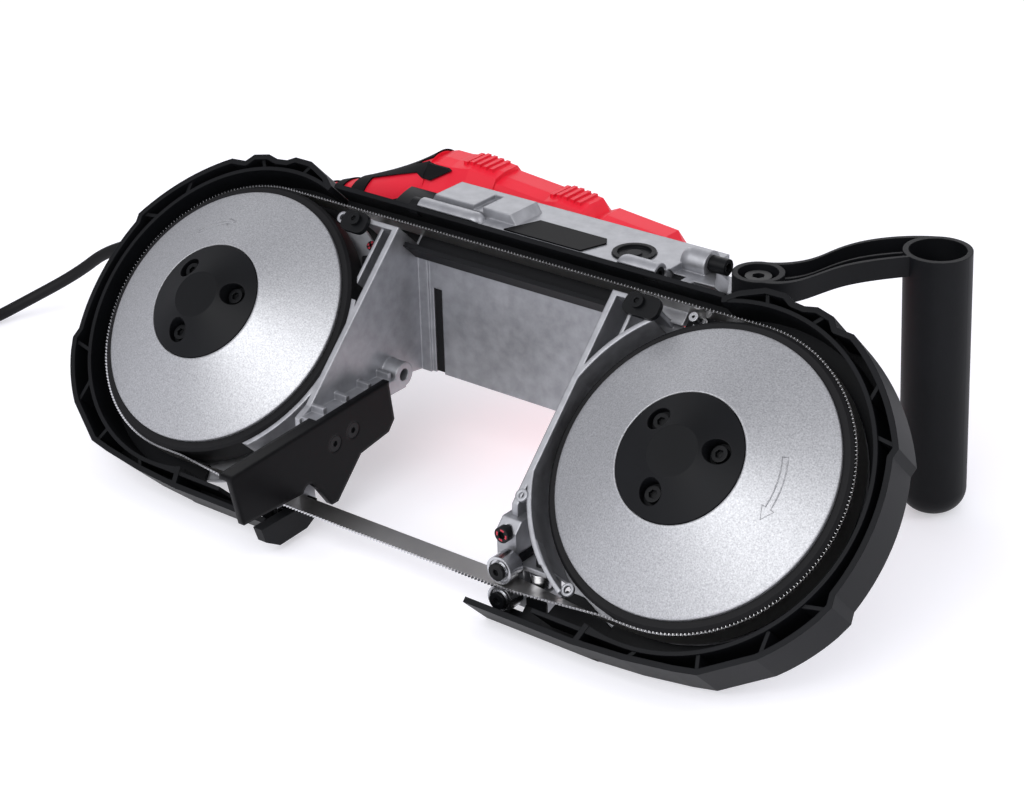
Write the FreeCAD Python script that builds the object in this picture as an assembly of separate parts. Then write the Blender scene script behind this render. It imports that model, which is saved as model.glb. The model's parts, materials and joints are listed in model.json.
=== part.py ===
import FreeCAD, Part
import math
import os

V = FreeCAD.Vector

# Portable deep-cut band saw, in millimetres and degrees.
# Wheel frame: u runs along the saw, v up in the wheel plane, n out of the wheel's face.
# Body frame: X along the saw, Y to the back, Z up. The wheel plane leans back by LEAN.
LEAN = 45.0

# Wheels
WHEEL_SPACING = 316.0
RIM_R = 75.0
RIM_T = 9.0
TYRE_T = 5.2
TYRE_W = 16.6
TYRE_FRONT = -2.0
CONE_ANGLE = 23.7
COVER_T = 2.0
COVER_BORE = 15.5
CAP_R = 33.6
CAP_SEAM = 0.5
CAP_FLAT_R = 13.5
CAP_SEAT = 13.0
HUB_R = 28.0
HUB_BACK = -22.0
WHEEL_WEB_T = 5.0
WHEEL_WEB_BACK = -13.0
WHEEL_HOLES = 6
WHEEL_HOLE_R = 11.0
SHAFT_R = 8.0
RUN_GAP = 0.03
SEAT_GAP = 0.02
BEARING_R = 14.0
BEARING_W = 8.0

# Hub cap screws
CAP_SCREWS = 3
CAP_SCREW_ANGLE = 20.0
CAP_SCREW_RING = 21.5
CAP_SCREW_R = 2.5
CAP_SCREW_DEPTH = 12.0
SCREW_HEAD_R = 4.3
SCREW_HEAD_H = 4.0
SCREW_HOLE_GAP = 0.1
COUNTERBORE_R = 6.4
COUNTERBORE_FLOOR = 3.2
SOCKET_R = 2.3
SOCKET_DEPTH = 2.2

# Blade
BLADE_T = 0.8
BLADE_W = 13.0
BLADE_FRONT = -4.5
BLADE_GAP = 0.3
TWIST_L = 63.0
TWIST_STEPS = 6
GUIDE_OUT = 7.5

# Guards
GUARD_TOP = 99.0
GUARD_SIDE = 99.0
GUARD_DROP = 99.5
GUARD_IN = 28.0
GUARD_FRONT = -1.0
GUARD_BACK = 26.5
GUARD_WALL = 3.0
GUARD_FLOOR_T = 2.5
GUARD_FLOOR_LAP = 0.2
RIDGE_R = 92.0
RIDGE_T = 2.2
RIB_T = 2.0
TONGUE_IN = 3.5
GUIDE_SPACE = 21.0
END_PLATE_T = 6.0

# Upper blade channel
CHANNEL_TOP = 91.3
CHANNEL_T = 2.6
CHANNEL_BACK = 21.7
CHANNEL_FRONT = -3.0
CHANNEL_LOW = 69.0
CHANNEL_LOW_FRONT = -8.0
CHANNEL_SIDE_LOW = 84.0
CHANNEL_CLIP = (88.5, 96.5)
CHANNEL_CLIP_TOP = 97.5
CHANNEL_CLIP_T = 5.0
CHANNEL_BUMP_R = 5.0
CHANNEL_BUMP_L = 6.0
PART_GAP = 0.3

# Cast frame
THROAT_HALF = 71.5
PILLAR_T = 3.5
PILLAR_FRONT = 2.0
PILLAR_TOP = 75.5
PILLAR_FOOT_L = -33.0
PILLAR_FOOT_R = -45.0
PILLAR_BOTTOM_Z = -31.0
WALL_T = 2.5
REAR_WALL_R = 84.5
FRONT_WALL_R = 87.0
WEB_R = 88.0
WEB_T = 3.5
PANEL_Y = 68.0
PANEL_BOTTOM = -35.0
CASE_WALL = 5.0
POCKET_REACH = 24.0
LEDGE_W = 10.5
LEDGE_Z = -25.0
LEDGE_H = 8.0
LEDGE_FRONT = -32.0
LEDGE_BACK = 40.0
LEDGE_BOSS_R = 7.0
LEDGE_BOSS_HOLE = 3.5
TYRE_ROOM = 1.0

# Case cover
COVER_TOP_Z = 61.6
COVER_BACK_Y = 110.0
COVER_RIGHT = 103.0
COVER_LEFT = -70.0
PLATEAU_H = 5.5
PLATEAU_END = -10.0
PLATEAU_RAMP = 4.0
PLATEAU_FRONT = 77.0
PLATEAU_BACK = 99.5
PLATEAU_SLOT = ((-39.0, 75.0), (-33.0, 95.0))
HINGE_R = 6.0
HINGE_IN = 3.0
HINGE_DROP = 1.5
HINGE_LEFT_END = -34.0
HINGE_RIGHT = (67.0, 87.0)
HINGE_SCREW_R = 4.0
HINGE_SCREW_L = 8.0
END_STEP_X = 89.0
END_STEP_Y = 89.0
END_STEP_Z = 58.0
EAR_TOP = ((89.0, 77.5), (89.0, 97.0), (104.0, 97.0), (115.0, 78.5))
EAR_FOOT = ((89.0, 82.0), (89.0, 101.3), (110.8, 101.3), (121.8, 82.8))
LABEL_CORNERS = ((-12.5, 68.8), (-3.8, 89.5), (40.2, 89.3), (43.5, 84.5), (38.0, 68.8))
LABEL_T = 0.8
PLUG_R = 11.5
PLUG_T = 3.6
PLUG_X = 62.0
PLUG_Y = 83.5
LUG_X = 93.0
LUG_Y = 93.5
LUG_L = 10.5
LUG_R = 7.5
LUG_HEAD_R = 4.4
LUG_HEAD_L = 10.0
LUG_HEAD_UP = 1.0

# Front handle
ARM_Z = 62.0
ARM_H = 11.0
ARM_WALL = 3.0
ARM_FLOOR = 3.0
ARM_RIB_T = 2.0
ARM_RIB_DROP = 3.0
ARM_BOSS_X = 128.0
ARM_BOSS_Y = 99.0
ARM_BOSS_R = 13.5
ARM_BOLT_R = 4.0
ARM_BOLT_HEAD_R = 7.0
ARM_FAR_BENDS = ((134.2, 119.1), (140.6, 130.0), (143.5, 145.0), (148.1, 161.1), (158.0, 176.4))
ARM_NEAR_BENDS = ((149.5, 98.2), (154.7, 113.7), (159.6, 130.0), (167.8, 144.2))
ARM_FAR_ANGLES = (117.0, 122.0)
ARM_NEAR_ANGLES = (-50.0, 247.0)
ARM_STEPS = 12
GRIP_X = 187.0
GRIP_Y = 176.0
GRIP_R = 18.0
GRIP_BORE = 15.0
GRIP_BORE_DEPTH = 40.0
GRIP_LEAN_X = 2.6
GRIP_LEAN_Y = 4.3
GRIP_ROUND = 14.0

# Work stop
STOP_IN = 14.5
STOP_T = 4.0
STOP_LIP = 9.0
STOP_LIP_T = 3.0
STOP_SCREW_R = 4.5
STOP_SCREWS = ((-22.6, -40.6), (-8.2, -38.4))
STOP_LUG_R = 6.0

# Guide rollers
ROLLER_R = 7.5
ROLLER_L = 10.0
ROLLER_PIN_R = 3.0
ROLLER_GAP = 0.3
BACKUP_R = 6.0
BACKUP_L = 8.0
BACKUP_OUT = 12.5
BACKUP_PIN_R = 2.5
BRACKET_BACK = -29.0
BRACKET_TOP = -37.0
BRACKET_SCREW_IN = 5.0
BRACKET_SCREW_DROP = 5.5
BRACKET_LOW = -82.0
BRACKET_GAP = 1.4

# Tension gear behind the front wheel
SLIDE_TRAVEL = 3.0
CARRIAGE_L = 60.0
CARRIAGE_H = 40.0
CARRIAGE_T = 5.5
SLOT_L = 32.0
SLOT_H = 27.4
AXLE_FLANGE_R = 12.0
AXLE_FLANGE_T = 2.0
LEVER_TURN = 170.0
LEVER_PIN_R = 5.0
LEVER_CAM_R = 13.0
LEVER_CAM_GAP = 0.6
LEVER_HUB_R = 12.0
LEVER_HUB_T = 6.0
LEVER_ARM = 58.0
LEVER_ARM_W = 11.0

# Gear train behind the rear wheel
GEARBOX_R = 38.0
GEARBOX_WALL = 4.0
GEARBOX_CAP_T = 5.0
WORM_N = -69.0
WORM_MODULE = 1.5
WORM_WHEEL_TEETH = 40
WORM_WHEEL_W = 10.0
WORM_R = 9.0
WORM_TURNS = 6
WORM_SHAFT_R = 6.0
TUNNEL_R = 17.0
TUNNEL_WALL = 4.5
TUNNEL_END = -192.0
SPUR_MODULE = 2.0
SPUR_TEETH = 35
PINION_TEETH = 14
SPUR_X = -125.0
SPUR_W = 8.0
SPUR_BOX_WALL = 3.0
SPUR_ROOM = 1.5
BELL_WALL = 3.2
BELL_L = 32.0
MOTOR_ANGLE = 33.3

# Motor and its housing
MOTOR_LEFT = -112.0
MOTOR_RIGHT = 62.0
MOTOR_R = 40.0
MOTOR_WALL = 3.0
MOTOR_SHAFT_R = 5.0
MOTOR_BEARING_R = 11.0
MOTOR_BEARING_W = 8.0
STATOR_R = 36.6
STATOR_BORE = 25.0
STATOR_LEFT = -66.0
STATOR_L = 68.0
ARMATURE_R = 24.0
FAN_R = 33.0
FAN_T = 12.0
FAN_X = -92.0
FAN_BLADES = 12
END_CAP_T = 9.0
SADDLE_TOP = (
    (-112.0, 61.0), (-106.7, 62.5), (-96.3, 62.4), (-83.2, 64.3), (-64.0, 62.4), (-63.9, 60.1), (-30.3, 57.1),
    (-21.9, 58.6), (-4.4, 56.6), (-2.7, 54.7), (-0.1, 50.1), (6.8, 53.2), (46.0, 49.4), (48.8, 43.1),
)
SADDLE_ROWS = ((114.0, 20.0), (126.0, 2.0), (134.0, 0.0), (146.0, 0.0), (156.0, 13.0))
SADDLE_FOOT = 8.0
VENT_STARTS = (-69.0, -8.0)
VENT_COUNT = 5
VENT_W = 2.2
VENT_PITCH = 4.6
LOUVRE_W = 2.6
LOUVRE_H = 1.0

# Rear handle, as sections: X, centre Y, centre Z, half width, half height
HANDLE_SECTIONS = (
    (-112.0, 137.0, 39.0, 20.0, 24.0),
    (-150.0, 132.0, 22.5, 18.5, 21.0),
    (-200.0, 124.0, 7.0, 18.0, 20.0),
    (-250.0, 114.0, -7.0, 19.0, 21.0),
    (-288.0, 106.0, -19.0, 22.0, 25.0),
)
HANDLE_WALL = 3.0

# Soft grip on the rear handle, outlines as X and Z
PAD_T = 1.0
PAD_GAP = 0.2
PAD_GRIP = (-216.0, -156.0)
PAD_TAIL = (-284.0, -262.0)
PAD_STRIPES = ((-189.0, -182.0), (-175.0, -167.0))
PAD_STRIPE_LOW = 27.0
PAD_BAND = ((-156.0, 41.4), (-118.8, 53.7), (-112.0, 52.5), (-112.0, 90.0), (-156.0, 90.0))
PAD_LOWER = ((-156.0, 33.5), (-142.5, 32.1), (-125.5, 39.1), (-113.0, 41.0), (-113.0, -30.0), (-156.0, -30.0))
PAD_HOOK = ((-112.0, 52.5), (-106.2, 52.7), (-94.5, 59.4), (-97.0, 60.2), (-112.0, 60.2))
PAD_HOOK_Y = (100.0, 130.0)
PAD_LOZENGE = ((-126.0, 129.5), (-121.0, 132.0), (-106.0, 128.5), (-109.0, 126.0))

# Trigger, lock button and speed dial
TRIGGER_X = -172.0
TRIGGER_L = 40.0
TRIGGER_W = 14.0
TRIGGER_OUT = 8.0
TRIGGER_IN = 9.0
TRIGGER_GAP = 0.6
TRIGGER_PIN_R = 2.0
TRIGGER_PIN_IN = 4.0
TRIGGER_PIN_REACH = 14.0
BUTTON_R = 4.5
BUTTON_OUT = 4.0
BUTTON_L = 12.0
BUTTON_X = -158.0
DIAL_R = 11.0
DIAL_T = 7.0
DIAL_OUT = 3.0
DIAL_X = -232.0

# Power cord
CORD_D = 7.5
RELIEF_L = 42.0
RELIEF_R = 8.5
CORD_FIRST_RUN = 26.0
CORD_DROP = ((-50.7, -11.7, 29.6), (-75.2, -35.7, 46.6))
CORD_ON_FLOOR = ((-84.7, -57.7), (-89.7, -83.7), (-92.7, -109.7), (-96.7, -135.7))
COIL_TURNS = 3
COIL_INNER_R = 33.0
COIL_PITCH = 8.2
COIL_CLIMB_IN = 2.0
COIL_LIFT = 1.8
COIL_TAIL = 45.0
TIE_W = 6.0
TIE_T = 1.2
TIE_GAP = 0.5
PLUG_BODY_L = 34.0
PLUG_BODY_W = 34.0
PLUG_PIN_R = 2.4
PLUG_PIN_L = 19.0
PLUG_PIN_SPACING = 19.0

# Values worked out from the sizes above
S = math.sin(math.radians(LEAN))
C = math.cos(math.radians(LEAN))
WHEEL_U = WHEEL_SPACING / 2.0
TYRE_R = RIM_R + TYRE_T
GUARD_FLOOR_R = TYRE_R - GUARD_FLOOR_LAP
STOP_X = STOP_IN - THROAT_HALF
TONGUE_END = THROAT_HALF - TONGUE_IN
GUIDE_X = THROAT_HALF + GUIDE_OUT
GUIDE_ROOM = GUIDE_X + GUIDE_SPACE
BACKUP_X = GUIDE_X + BACKUP_OUT
BRACKET_SCREW_X = GUIDE_X - BRACKET_SCREW_IN
TWIST_START = GUIDE_X + TWIST_L
TYRE_BACK = TYRE_FRONT - TYRE_W
CONE_RISE = math.tan(math.radians(CONE_ANGLE))
COVER_DROP = COVER_T / math.cos(math.radians(CONE_ANGLE))
BLADE_R = TYRE_R + BLADE_GAP
BLADE_MID_N = BLADE_FRONT - BLADE_W / 2.0
BLADE_MID_V = -BLADE_R - BLADE_T / 2.0
WEB_FRONT = -GUARD_BACK
WEB_BACK = -GUARD_BACK - WEB_T
FLOOR_Z = -GUARD_DROP * C - GUARD_BACK * S
CASE_N = -CHANNEL_BACK - PART_GAP
CASE_V = CHANNEL_TOP + PART_GAP
WORM_V = WORM_MODULE * WORM_WHEEL_TEETH / 2.0 + WORM_R
SPUR_R = SPUR_MODULE * SPUR_TEETH / 2.0
PINION_R = SPUR_MODULE * PINION_TEETH / 2.0
CORD_Z = FLOOR_Z + CORD_D / 2.0
LEVER_CAM_OFFSET = SLIDE_TRAVEL / (1.0 - math.cos(math.radians(LEVER_TURN)))
LEVER_U = WHEEL_U - CARRIAGE_L / 2.0 - LEVER_CAM_GAP - LEVER_CAM_R - LEVER_CAM_OFFSET


def cone_n(r):
    return (RIM_R - r) * CONE_RISE


def to_body(u, v, n):
    return V(u, v * S - n * C, v * C + n * S)


BLADE_LINE = to_body(0, BLADE_MID_V, BLADE_MID_N)
WORM_LINE = to_body(0, WORM_V, WORM_N)
GEAR_DISTANCE = SPUR_R + PINION_R
MOTOR_Y = WORM_LINE.y + GEAR_DISTANCE * math.cos(math.radians(MOTOR_ANGLE))
MOTOR_Z = WORM_LINE.z + GEAR_DISTANCE * math.sin(math.radians(MOTOR_ANGLE))
GEARBOX_END = (FLOOR_Z + GEARBOX_R * C) / S


# Solid helpers
def lean(shape):
    placed = shape.copy()
    placed.rotate(V(0, 0, 0), V(1, 0, 0), 90.0 - LEAN)
    return placed


def lean_back(shape):
    placed = shape.copy()
    placed.rotate(V(0, 0, 0), V(1, 0, 0), LEAN - 90.0)
    return placed


def fuse(shapes):
    whole = shapes[0]
    if len(shapes) > 1:
        whole = whole.multiFuse(shapes[1:])
    return whole.removeSplitter()


def face_of(points):
    return Part.Face(Part.makePolygon(points + [points[0]]))


def plate_n(points, n0, n1):
    return face_of([V(u, v, n0) for u, v in points]).extrude(V(0, 0, n1 - n0))


def plate_x(points, x0, x1):
    return face_of([V(x0, y, z) for y, z in points]).extrude(V(x1 - x0, 0, 0))


def plate_y(points, y0, y1):
    return face_of([V(x, y0, z) for x, z in points]).extrude(V(0, y1 - y0, 0))


def plate_z(points, z0, z1):
    return face_of([V(x, y, z0) for x, y in points]).extrude(V(0, 0, z1 - z0))


def box(low, high):
    return Part.makeBox(high[0] - low[0], high[1] - low[1], high[2] - low[2], V(*low))


def disc_n(u, v, r, n0, n1):
    return Part.makeCylinder(r, n1 - n0, V(u, v, n0), V(0, 0, 1))


def ring_n(u, v, r_out, r_in, n0, n1):
    return disc_n(u, v, r_out, n0, n1).cut(disc_n(u, v, r_in, n0 - 1, n1 + 1))


def rod(low, high, r):
    axis = V(*high) - V(*low)
    return Part.makeCylinder(r, axis.Length, V(*low), axis)


def rod_x(y, z, r, x0, x1):
    return rod((x0, y, z), (x1, y, z), r)


def ring_x(y, z, r_out, r_in, x0, x1):
    return rod_x(y, z, r_out, x0, x1).cut(rod_x(y, z, r_in, x0 - 1, x1 + 1))


def turned(profile, u):
    face = face_of([V(u + r, 0, n) for r, n in profile])
    return face.revolve(V(u, 0, 0), V(0, 0, 1), 360)


def line_wire(start, steps):
    edges = []
    here = V(*start)
    for step in steps:
        points = [V(*p) for p in step]
        if len(points) == 2:
            edges.append(Part.Arc(here, points[0], points[1]).toShape())
        else:
            edges.append(Part.LineSegment(here, points[0]).toShape())
        here = points[-1]
    return Part.Wire(edges)


def hexagon(centre, r, turn=0.0):
    x, y = centre
    corners = [math.radians(turn + 60.0 * k) for k in range(6)]
    return [(x + r * math.cos(a), y + r * math.sin(a)) for a in corners]


def socket_screw(top, r_shank, length, r_head, h_head, r_socket, d_socket):
    head = disc_n(0, 0, r_head, top - h_head, top)
    shank = disc_n(0, 0, r_shank, top - h_head - length, top - h_head)
    socket = plate_n(hexagon((0, 0), r_socket), top - d_socket, top + 1)
    return fuse([head, shank]).cut(socket)


def aimed(shape, place, direction):
    turned_shape = shape.copy()
    turned_shape.Placement = FreeCAD.Placement(V(*place), FreeCAD.Rotation(V(0, 0, 1), V(*direction)))
    return turned_shape


def gear_outline(r_pitch, teeth, module, first):
    points = []
    pitch = 2.0 * math.pi / teeth
    r_root = r_pitch - 1.25 * module
    r_tip = r_pitch + 0.9 * module
    for k in range(teeth):
        a = first + k * pitch
        for r, da in ((r_root, -0.27), (r_tip, -0.11), (r_tip, 0.11), (r_root, 0.27)):
            points.append((r * math.cos(a + da * pitch), r * math.sin(a + da * pitch)))
    return points


# Wheels
def screw_places(u):
    places = []
    for k in range(CAP_SCREWS):
        a = math.radians(CAP_SCREW_ANGLE + 360.0 * k / CAP_SCREWS)
        places.append((u + CAP_SCREW_RING * math.cos(a), CAP_SCREW_RING * math.sin(a)))
    return places


def wheel_casting(u, bore):
    web_front = WHEEL_WEB_BACK + WHEEL_WEB_T
    rim_in = RIM_R - RIM_T
    top = CAP_SEAT - COVER_T
    profile = [
        (bore, HUB_BACK), (HUB_R, HUB_BACK), (HUB_R, WHEEL_WEB_BACK), (rim_in, WHEEL_WEB_BACK),
        (rim_in, TYRE_BACK), (RIM_R, TYRE_BACK), (RIM_R, -COVER_DROP), (rim_in, -COVER_DROP),
        (rim_in, web_front), (HUB_R, web_front), (HUB_R, top), (bore, top),
    ]
    wheel = turned(profile, u)
    ring = (HUB_R + rim_in) / 2.0
    for k in range(WHEEL_HOLES):
        a = 2.0 * math.pi * k / WHEEL_HOLES
        x = u + ring * math.cos(a)
        y = ring * math.sin(a)
        wheel = wheel.cut(disc_n(x, y, WHEEL_HOLE_R, WHEEL_WEB_BACK - 1, web_front + 1))
    for x, y in screw_places(u):
        wheel = wheel.cut(disc_n(x, y, CAP_SCREW_R + SCREW_HOLE_GAP, top - CAP_SCREW_DEPTH, top + 1))
    return wheel


def tyre(u):
    r_in = RIM_R + SEAT_GAP
    edge = 1.6
    profile = [
        (r_in, TYRE_BACK), (TYRE_R - edge, TYRE_BACK), (TYRE_R, TYRE_BACK + edge),
        (TYRE_R, TYRE_FRONT - edge), (TYRE_R - edge, TYRE_FRONT), (r_in, TYRE_FRONT),
    ]
    return turned(profile, u)


def wheel_cover(u):
    r_lip = CAP_R + CAP_SEAM
    floor = CAP_SEAT - COVER_T
    r_under = RIM_R - (floor + COVER_DROP) / CONE_RISE
    profile = [
        (RIM_R, 0.0), (r_lip, cone_n(r_lip)), (r_lip, CAP_SEAT), (COVER_BORE, CAP_SEAT),
        (COVER_BORE, floor), (r_under, floor), (RIM_R, -COVER_DROP),
    ]
    cover = turned(profile, u)
    for x, y in screw_places(u):
        cover = cover.cut(disc_n(x, y, CAP_SCREW_R + SCREW_HOLE_GAP, floor - 1, CAP_SEAT + 1))
    return cover


def hub_cap(u):
    profile = [(0, CAP_SEAT), (CAP_R, CAP_SEAT), (CAP_R, cone_n(CAP_R)), (CAP_FLAT_R, cone_n(CAP_FLAT_R))]
    cap = turned(profile + [(0, cone_n(CAP_FLAT_R))], u)
    for x, y in screw_places(u):
        floor = CAP_SEAT + COUNTERBORE_FLOOR
        cap = cap.cut(disc_n(x, y, CAP_SCREW_R + SCREW_HOLE_GAP, CAP_SEAT - 1, floor + 1))
        cap = cap.cut(disc_n(x, y, COUNTERBORE_R, floor, cone_n(0)))
    return cap


def cap_screws(u):
    top = CAP_SEAT + COUNTERBORE_FLOOR + SCREW_HEAD_H
    length = top - SCREW_HEAD_H - CAP_SEAT + COVER_T + CAP_SCREW_DEPTH - 1.0
    screws = []
    for x, y in screw_places(u):
        screw = socket_screw(top, CAP_SCREW_R, length, SCREW_HEAD_R, SCREW_HEAD_H, SOCKET_R, SOCKET_DEPTH)
        screw.translate(V(x, y, 0))
        screws.append(screw)
    return Part.Compound(screws)


def blade_section(u, twist):
    a = math.radians(twist)
    across = V(0, -math.sin(a), math.cos(a)) * (BLADE_W / 2.0)
    through = V(0, math.cos(a), math.sin(a)) * (BLADE_T / 2.0)
    centre = V(u, BLADE_MID_V, BLADE_MID_N)
    corners = [centre + across + through, centre - across + through]
    corners += [centre - across - through, centre + across - through]
    return Part.makePolygon(corners + [corners[0]])


def blade():
    back = BLADE_FRONT - BLADE_W
    outer = BLADE_R + BLADE_T
    pieces = [box((-WHEEL_U, BLADE_R, back), (WHEEL_U, outer, BLADE_FRONT))]
    for side in (1, -1):
        strip = [V(side * WHEEL_U, -side * r, n) for r in (BLADE_R, outer) for n in (back, BLADE_FRONT)]
        end = face_of([strip[0], strip[1], strip[3], strip[2]])
        pieces.append(end.revolve(V(side * WHEEL_U, 0, 0), V(0, 0, 1), 180))
    stations = [(WHEEL_U, 0.0)]
    for k in range(TWIST_STEPS + 1):
        share = k / TWIST_STEPS
        stations.append((TWIST_START + (GUIDE_X - TWIST_START) * share, (90.0 - LEAN) * share))
    stations += [(-u, twist) for u, twist in reversed(stations)]
    pieces.append(Part.makeLoft([blade_section(u, twist) for u, twist in stations], True, True))
    return fuse(pieces)


# Guards and the channel between them, drawn for the front wheel and mirrored for the rear one
def guard_outline():
    u = WHEEL_U
    start = (u - GUARD_IN, GUARD_TOP - 10.5, 0)
    steps = [
        [(u - 21, GUARD_TOP - 5.5, 0)], [(u - 7, GUARD_TOP, 0)], [(u + 5, GUARD_TOP, 0)],
        [(u + 10, GUARD_TOP - 3, 0)], [(u + 17, GUARD_TOP - 3.8, 0)], [(u + 24, GUARD_TOP - 2.5, 0)],
        [(u + 34, GUARD_TOP - 5, 0)], [(u + 38, GUARD_TOP - 10, 0)], [(u + 48, GUARD_TOP - 10.8, 0)],
        [(u + GUARD_SIDE - 24.4, 67.2, 0), (u + GUARD_SIDE - 5, 41, 0)], [(u + GUARD_SIDE - 6, 36, 0)],
        [(u + GUARD_SIDE, 1, 0), (u + GUARD_SIDE - 4.5, -34, 0)], [(u + GUARD_SIDE - 3.4, -40, 0)],
        [(u + GUARD_SIDE - 7, -48, 0)], [(u + GUARD_SIDE - 16.5, -62.5, 0), (u + GUARD_SIDE - 28, -75, 0)],
        [(u + 46, -GUARD_DROP + 8, 0)], [(u + 33, -GUARD_DROP + 5.5, 0)], [(u + 6, -GUARD_DROP + 2, 0)],
        [(u - 24, -GUARD_DROP, 0)], [(u, 0, 0)], [start],
    ]
    return Part.Face(line_wire(start, steps))


def guard_ribs():
    u = WHEEL_U
    lines = (
        ((u - 2, 88), (u - 7, GUARD_TOP)), ((u + 22, 86), (u + 32, 98)), ((u + 69, 60), (u + 71, 76)),
        ((u + 78, 44), (u + 100, 41)), ((u + 78, -44), (u + 100, -40)), ((u + 70, -60), (u + 71, -78)),
        ((u + 12, -88), (u + 4, -GUARD_DROP)), ((u + 40, -78), (u + 46, -95)),
    )
    ribs = []
    for (u0, v0), (u1, v1) in lines:
        along = V(u1 - u0, v1 - v0, 0)
        rib = box((0, -RIB_T / 2.0, -GUARD_BACK), (along.Length, RIB_T / 2.0, GUARD_FRONT - 2.0))
        rib.rotate(V(0, 0, 0), V(0, 0, 1), math.degrees(math.atan2(along.y, along.x)))
        rib.translate(V(u0, v0, 0))
        ribs.append(rib)
    return ribs


def guard():
    u = WHEEL_U
    outline = guard_outline()
    depth = V(0, 0, GUARD_FRONT + GUARD_BACK)
    floor_z = V(0, 0, -GUARD_BACK)
    whole = outline.extrude(depth)
    whole.translate(floor_z)
    inside = outline.makeOffset2D(-GUARD_WALL).extrude(depth + V(0, 0, 2))
    inside.translate(floor_z - V(0, 0, 1))
    hole = disc_n(u, 0, RIDGE_R - RIDGE_T, -GUARD_BACK - 1, GUARD_FRONT + 1)
    wall = whole.cut(inside).cut(hole)
    floor_top = -GUARD_BACK + GUARD_FLOOR_T
    floor = outline.extrude(V(0, 0, GUARD_FLOOR_T))
    floor.translate(floor_z)
    floor = floor.cut(disc_n(u, 0, GUARD_FLOOR_R, -GUARD_BACK - 1, floor_top + 1))
    ridge = ring_n(u, 0, RIDGE_R, RIDGE_R - RIDGE_T, -GUARD_BACK, GUARD_FRONT - 0.6).common(whole)
    ribs = [rib.common(whole).cut(hole) for rib in guard_ribs()]
    corner = u - 24.0
    rim = -GUARD_DROP + GUARD_WALL
    strip = [(TONGUE_END, -GUARD_DROP), (corner, -GUARD_DROP), (corner + 6, -GUARD_DROP + 0.6)]
    strip += [(corner + 6, rim + 0.6), (corner, rim), (TONGUE_END, rim)]
    tongue = plate_n(strip, -GUARD_BACK, GUARD_FRONT)
    low_ridge = box((GUIDE_ROOM + 6, -RIDGE_R, -GUARD_BACK), (u, -RIDGE_R + RIDGE_T, GUARD_FRONT - 0.6))
    low_floor = box((GUIDE_ROOM, -GUARD_DROP, -GUARD_BACK), (u - 20, -RIDGE_R + RIDGE_T, floor_top))
    web_cut = disc_n(u, 0, GUARD_FLOOR_R, -GUARD_BACK - 1, GUARD_FRONT + 1)
    return fuse([wall, floor, ridge, tongue, low_ridge, low_floor] + ribs).cut(web_cut)


def mirrored(shape):
    return shape.mirror(V(0, 0, 0), V(1, 0, 0))


def rear_guard_end():
    points = [(-34, -70), (-36, -80), (-43, -84), (-64, -85), (-74, -79), (-77, -70)]
    return plate_x(points, -TONGUE_END, -TONGUE_END + END_PLATE_T)


def upper_channel():
    end = WHEEL_U - GUARD_IN - PART_GAP
    side = THROAT_HALF - PART_GAP
    back = -CHANNEL_BACK
    top_wall = box((-end, CHANNEL_TOP - CHANNEL_T, back), (end, CHANNEL_TOP, CHANNEL_FRONT))
    back_wall = box((-end, CHANNEL_SIDE_LOW, back), (end, CHANNEL_TOP, back + CHANNEL_T))
    mid_wall = box((-side, CHANNEL_LOW, back), (side, CHANNEL_TOP, back + CHANNEL_T))
    low_wall = box((-side, CHANNEL_LOW, back), (side, CHANNEL_LOW + CHANNEL_T, CHANNEL_LOW_FRONT))
    clip_low = CHANNEL_TOP - CHANNEL_T
    clip = box((CHANNEL_CLIP[0], clip_low, back), (CHANNEL_CLIP[1], CHANNEL_CLIP_TOP, back + CHANNEL_CLIP_T))
    hinge = hinge_axis()
    bump_v = hinge.y * S + hinge.z * C
    bump_n = hinge.z * S - hinge.y * C
    bump_end = COVER_LEFT - PART_GAP
    bump = rod((bump_end - CHANNEL_BUMP_L, bump_v, bump_n), (bump_end, bump_v, bump_n), CHANNEL_BUMP_R)
    screw_low = (HINGE_RIGHT[1] - HINGE_SCREW_L - PART_GAP, bump_v, bump_n)
    screw_room = rod(screw_low, (HINGE_RIGHT[1] + PART_GAP, bump_v, bump_n), HINGE_SCREW_R + PART_GAP)
    return fuse([top_wall, back_wall, mid_wall, low_wall, clip, bump]).cut(screw_room)


# Cast frame
def pillar(side, foot_v, bottom_z):
    front_top = to_body(0, PILLAR_TOP, PILLAR_FRONT)
    front_foot = to_body(0, foot_v, PILLAR_FRONT)
    back_top = to_body(0, PILLAR_TOP, CASE_N)
    lug_front = BLADE_LINE.y + BLADE_W / 2.0 + BRACKET_GAP + 8.0
    points = [
        (front_top.y, front_top.z), (front_foot.y, front_foot.z), (lug_front, front_foot.z - 4.0),
        (lug_front, BRACKET_TOP), (lug_front + 13.0, BRACKET_TOP), (lug_front + 16.0, bottom_z),
        (LEDGE_BACK, bottom_z), (PANEL_Y, PANEL_BOTTOM), (PANEL_Y + CASE_WALL, PANEL_BOTTOM),
        (PANEL_Y + CASE_WALL, back_top.z), (back_top.y, back_top.z),
    ]
    x0 = side * THROAT_HALF
    return plate_x(points, x0, x0 + side * PILLAR_T)


def case_points():
    low = PANEL_Y + CASE_WALL
    panel_v = (PANEL_Y + CASE_N * C) / S
    bend = to_body(0, panel_v, CASE_N)
    top = to_body(0, CASE_V, CASE_N)
    rear = V(0, top.y + CASE_WALL / C, top.z)
    inner_z = rear.z - (rear.y - low) * C / S
    return bend, top, rear, V(0, low, inner_z)


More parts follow.
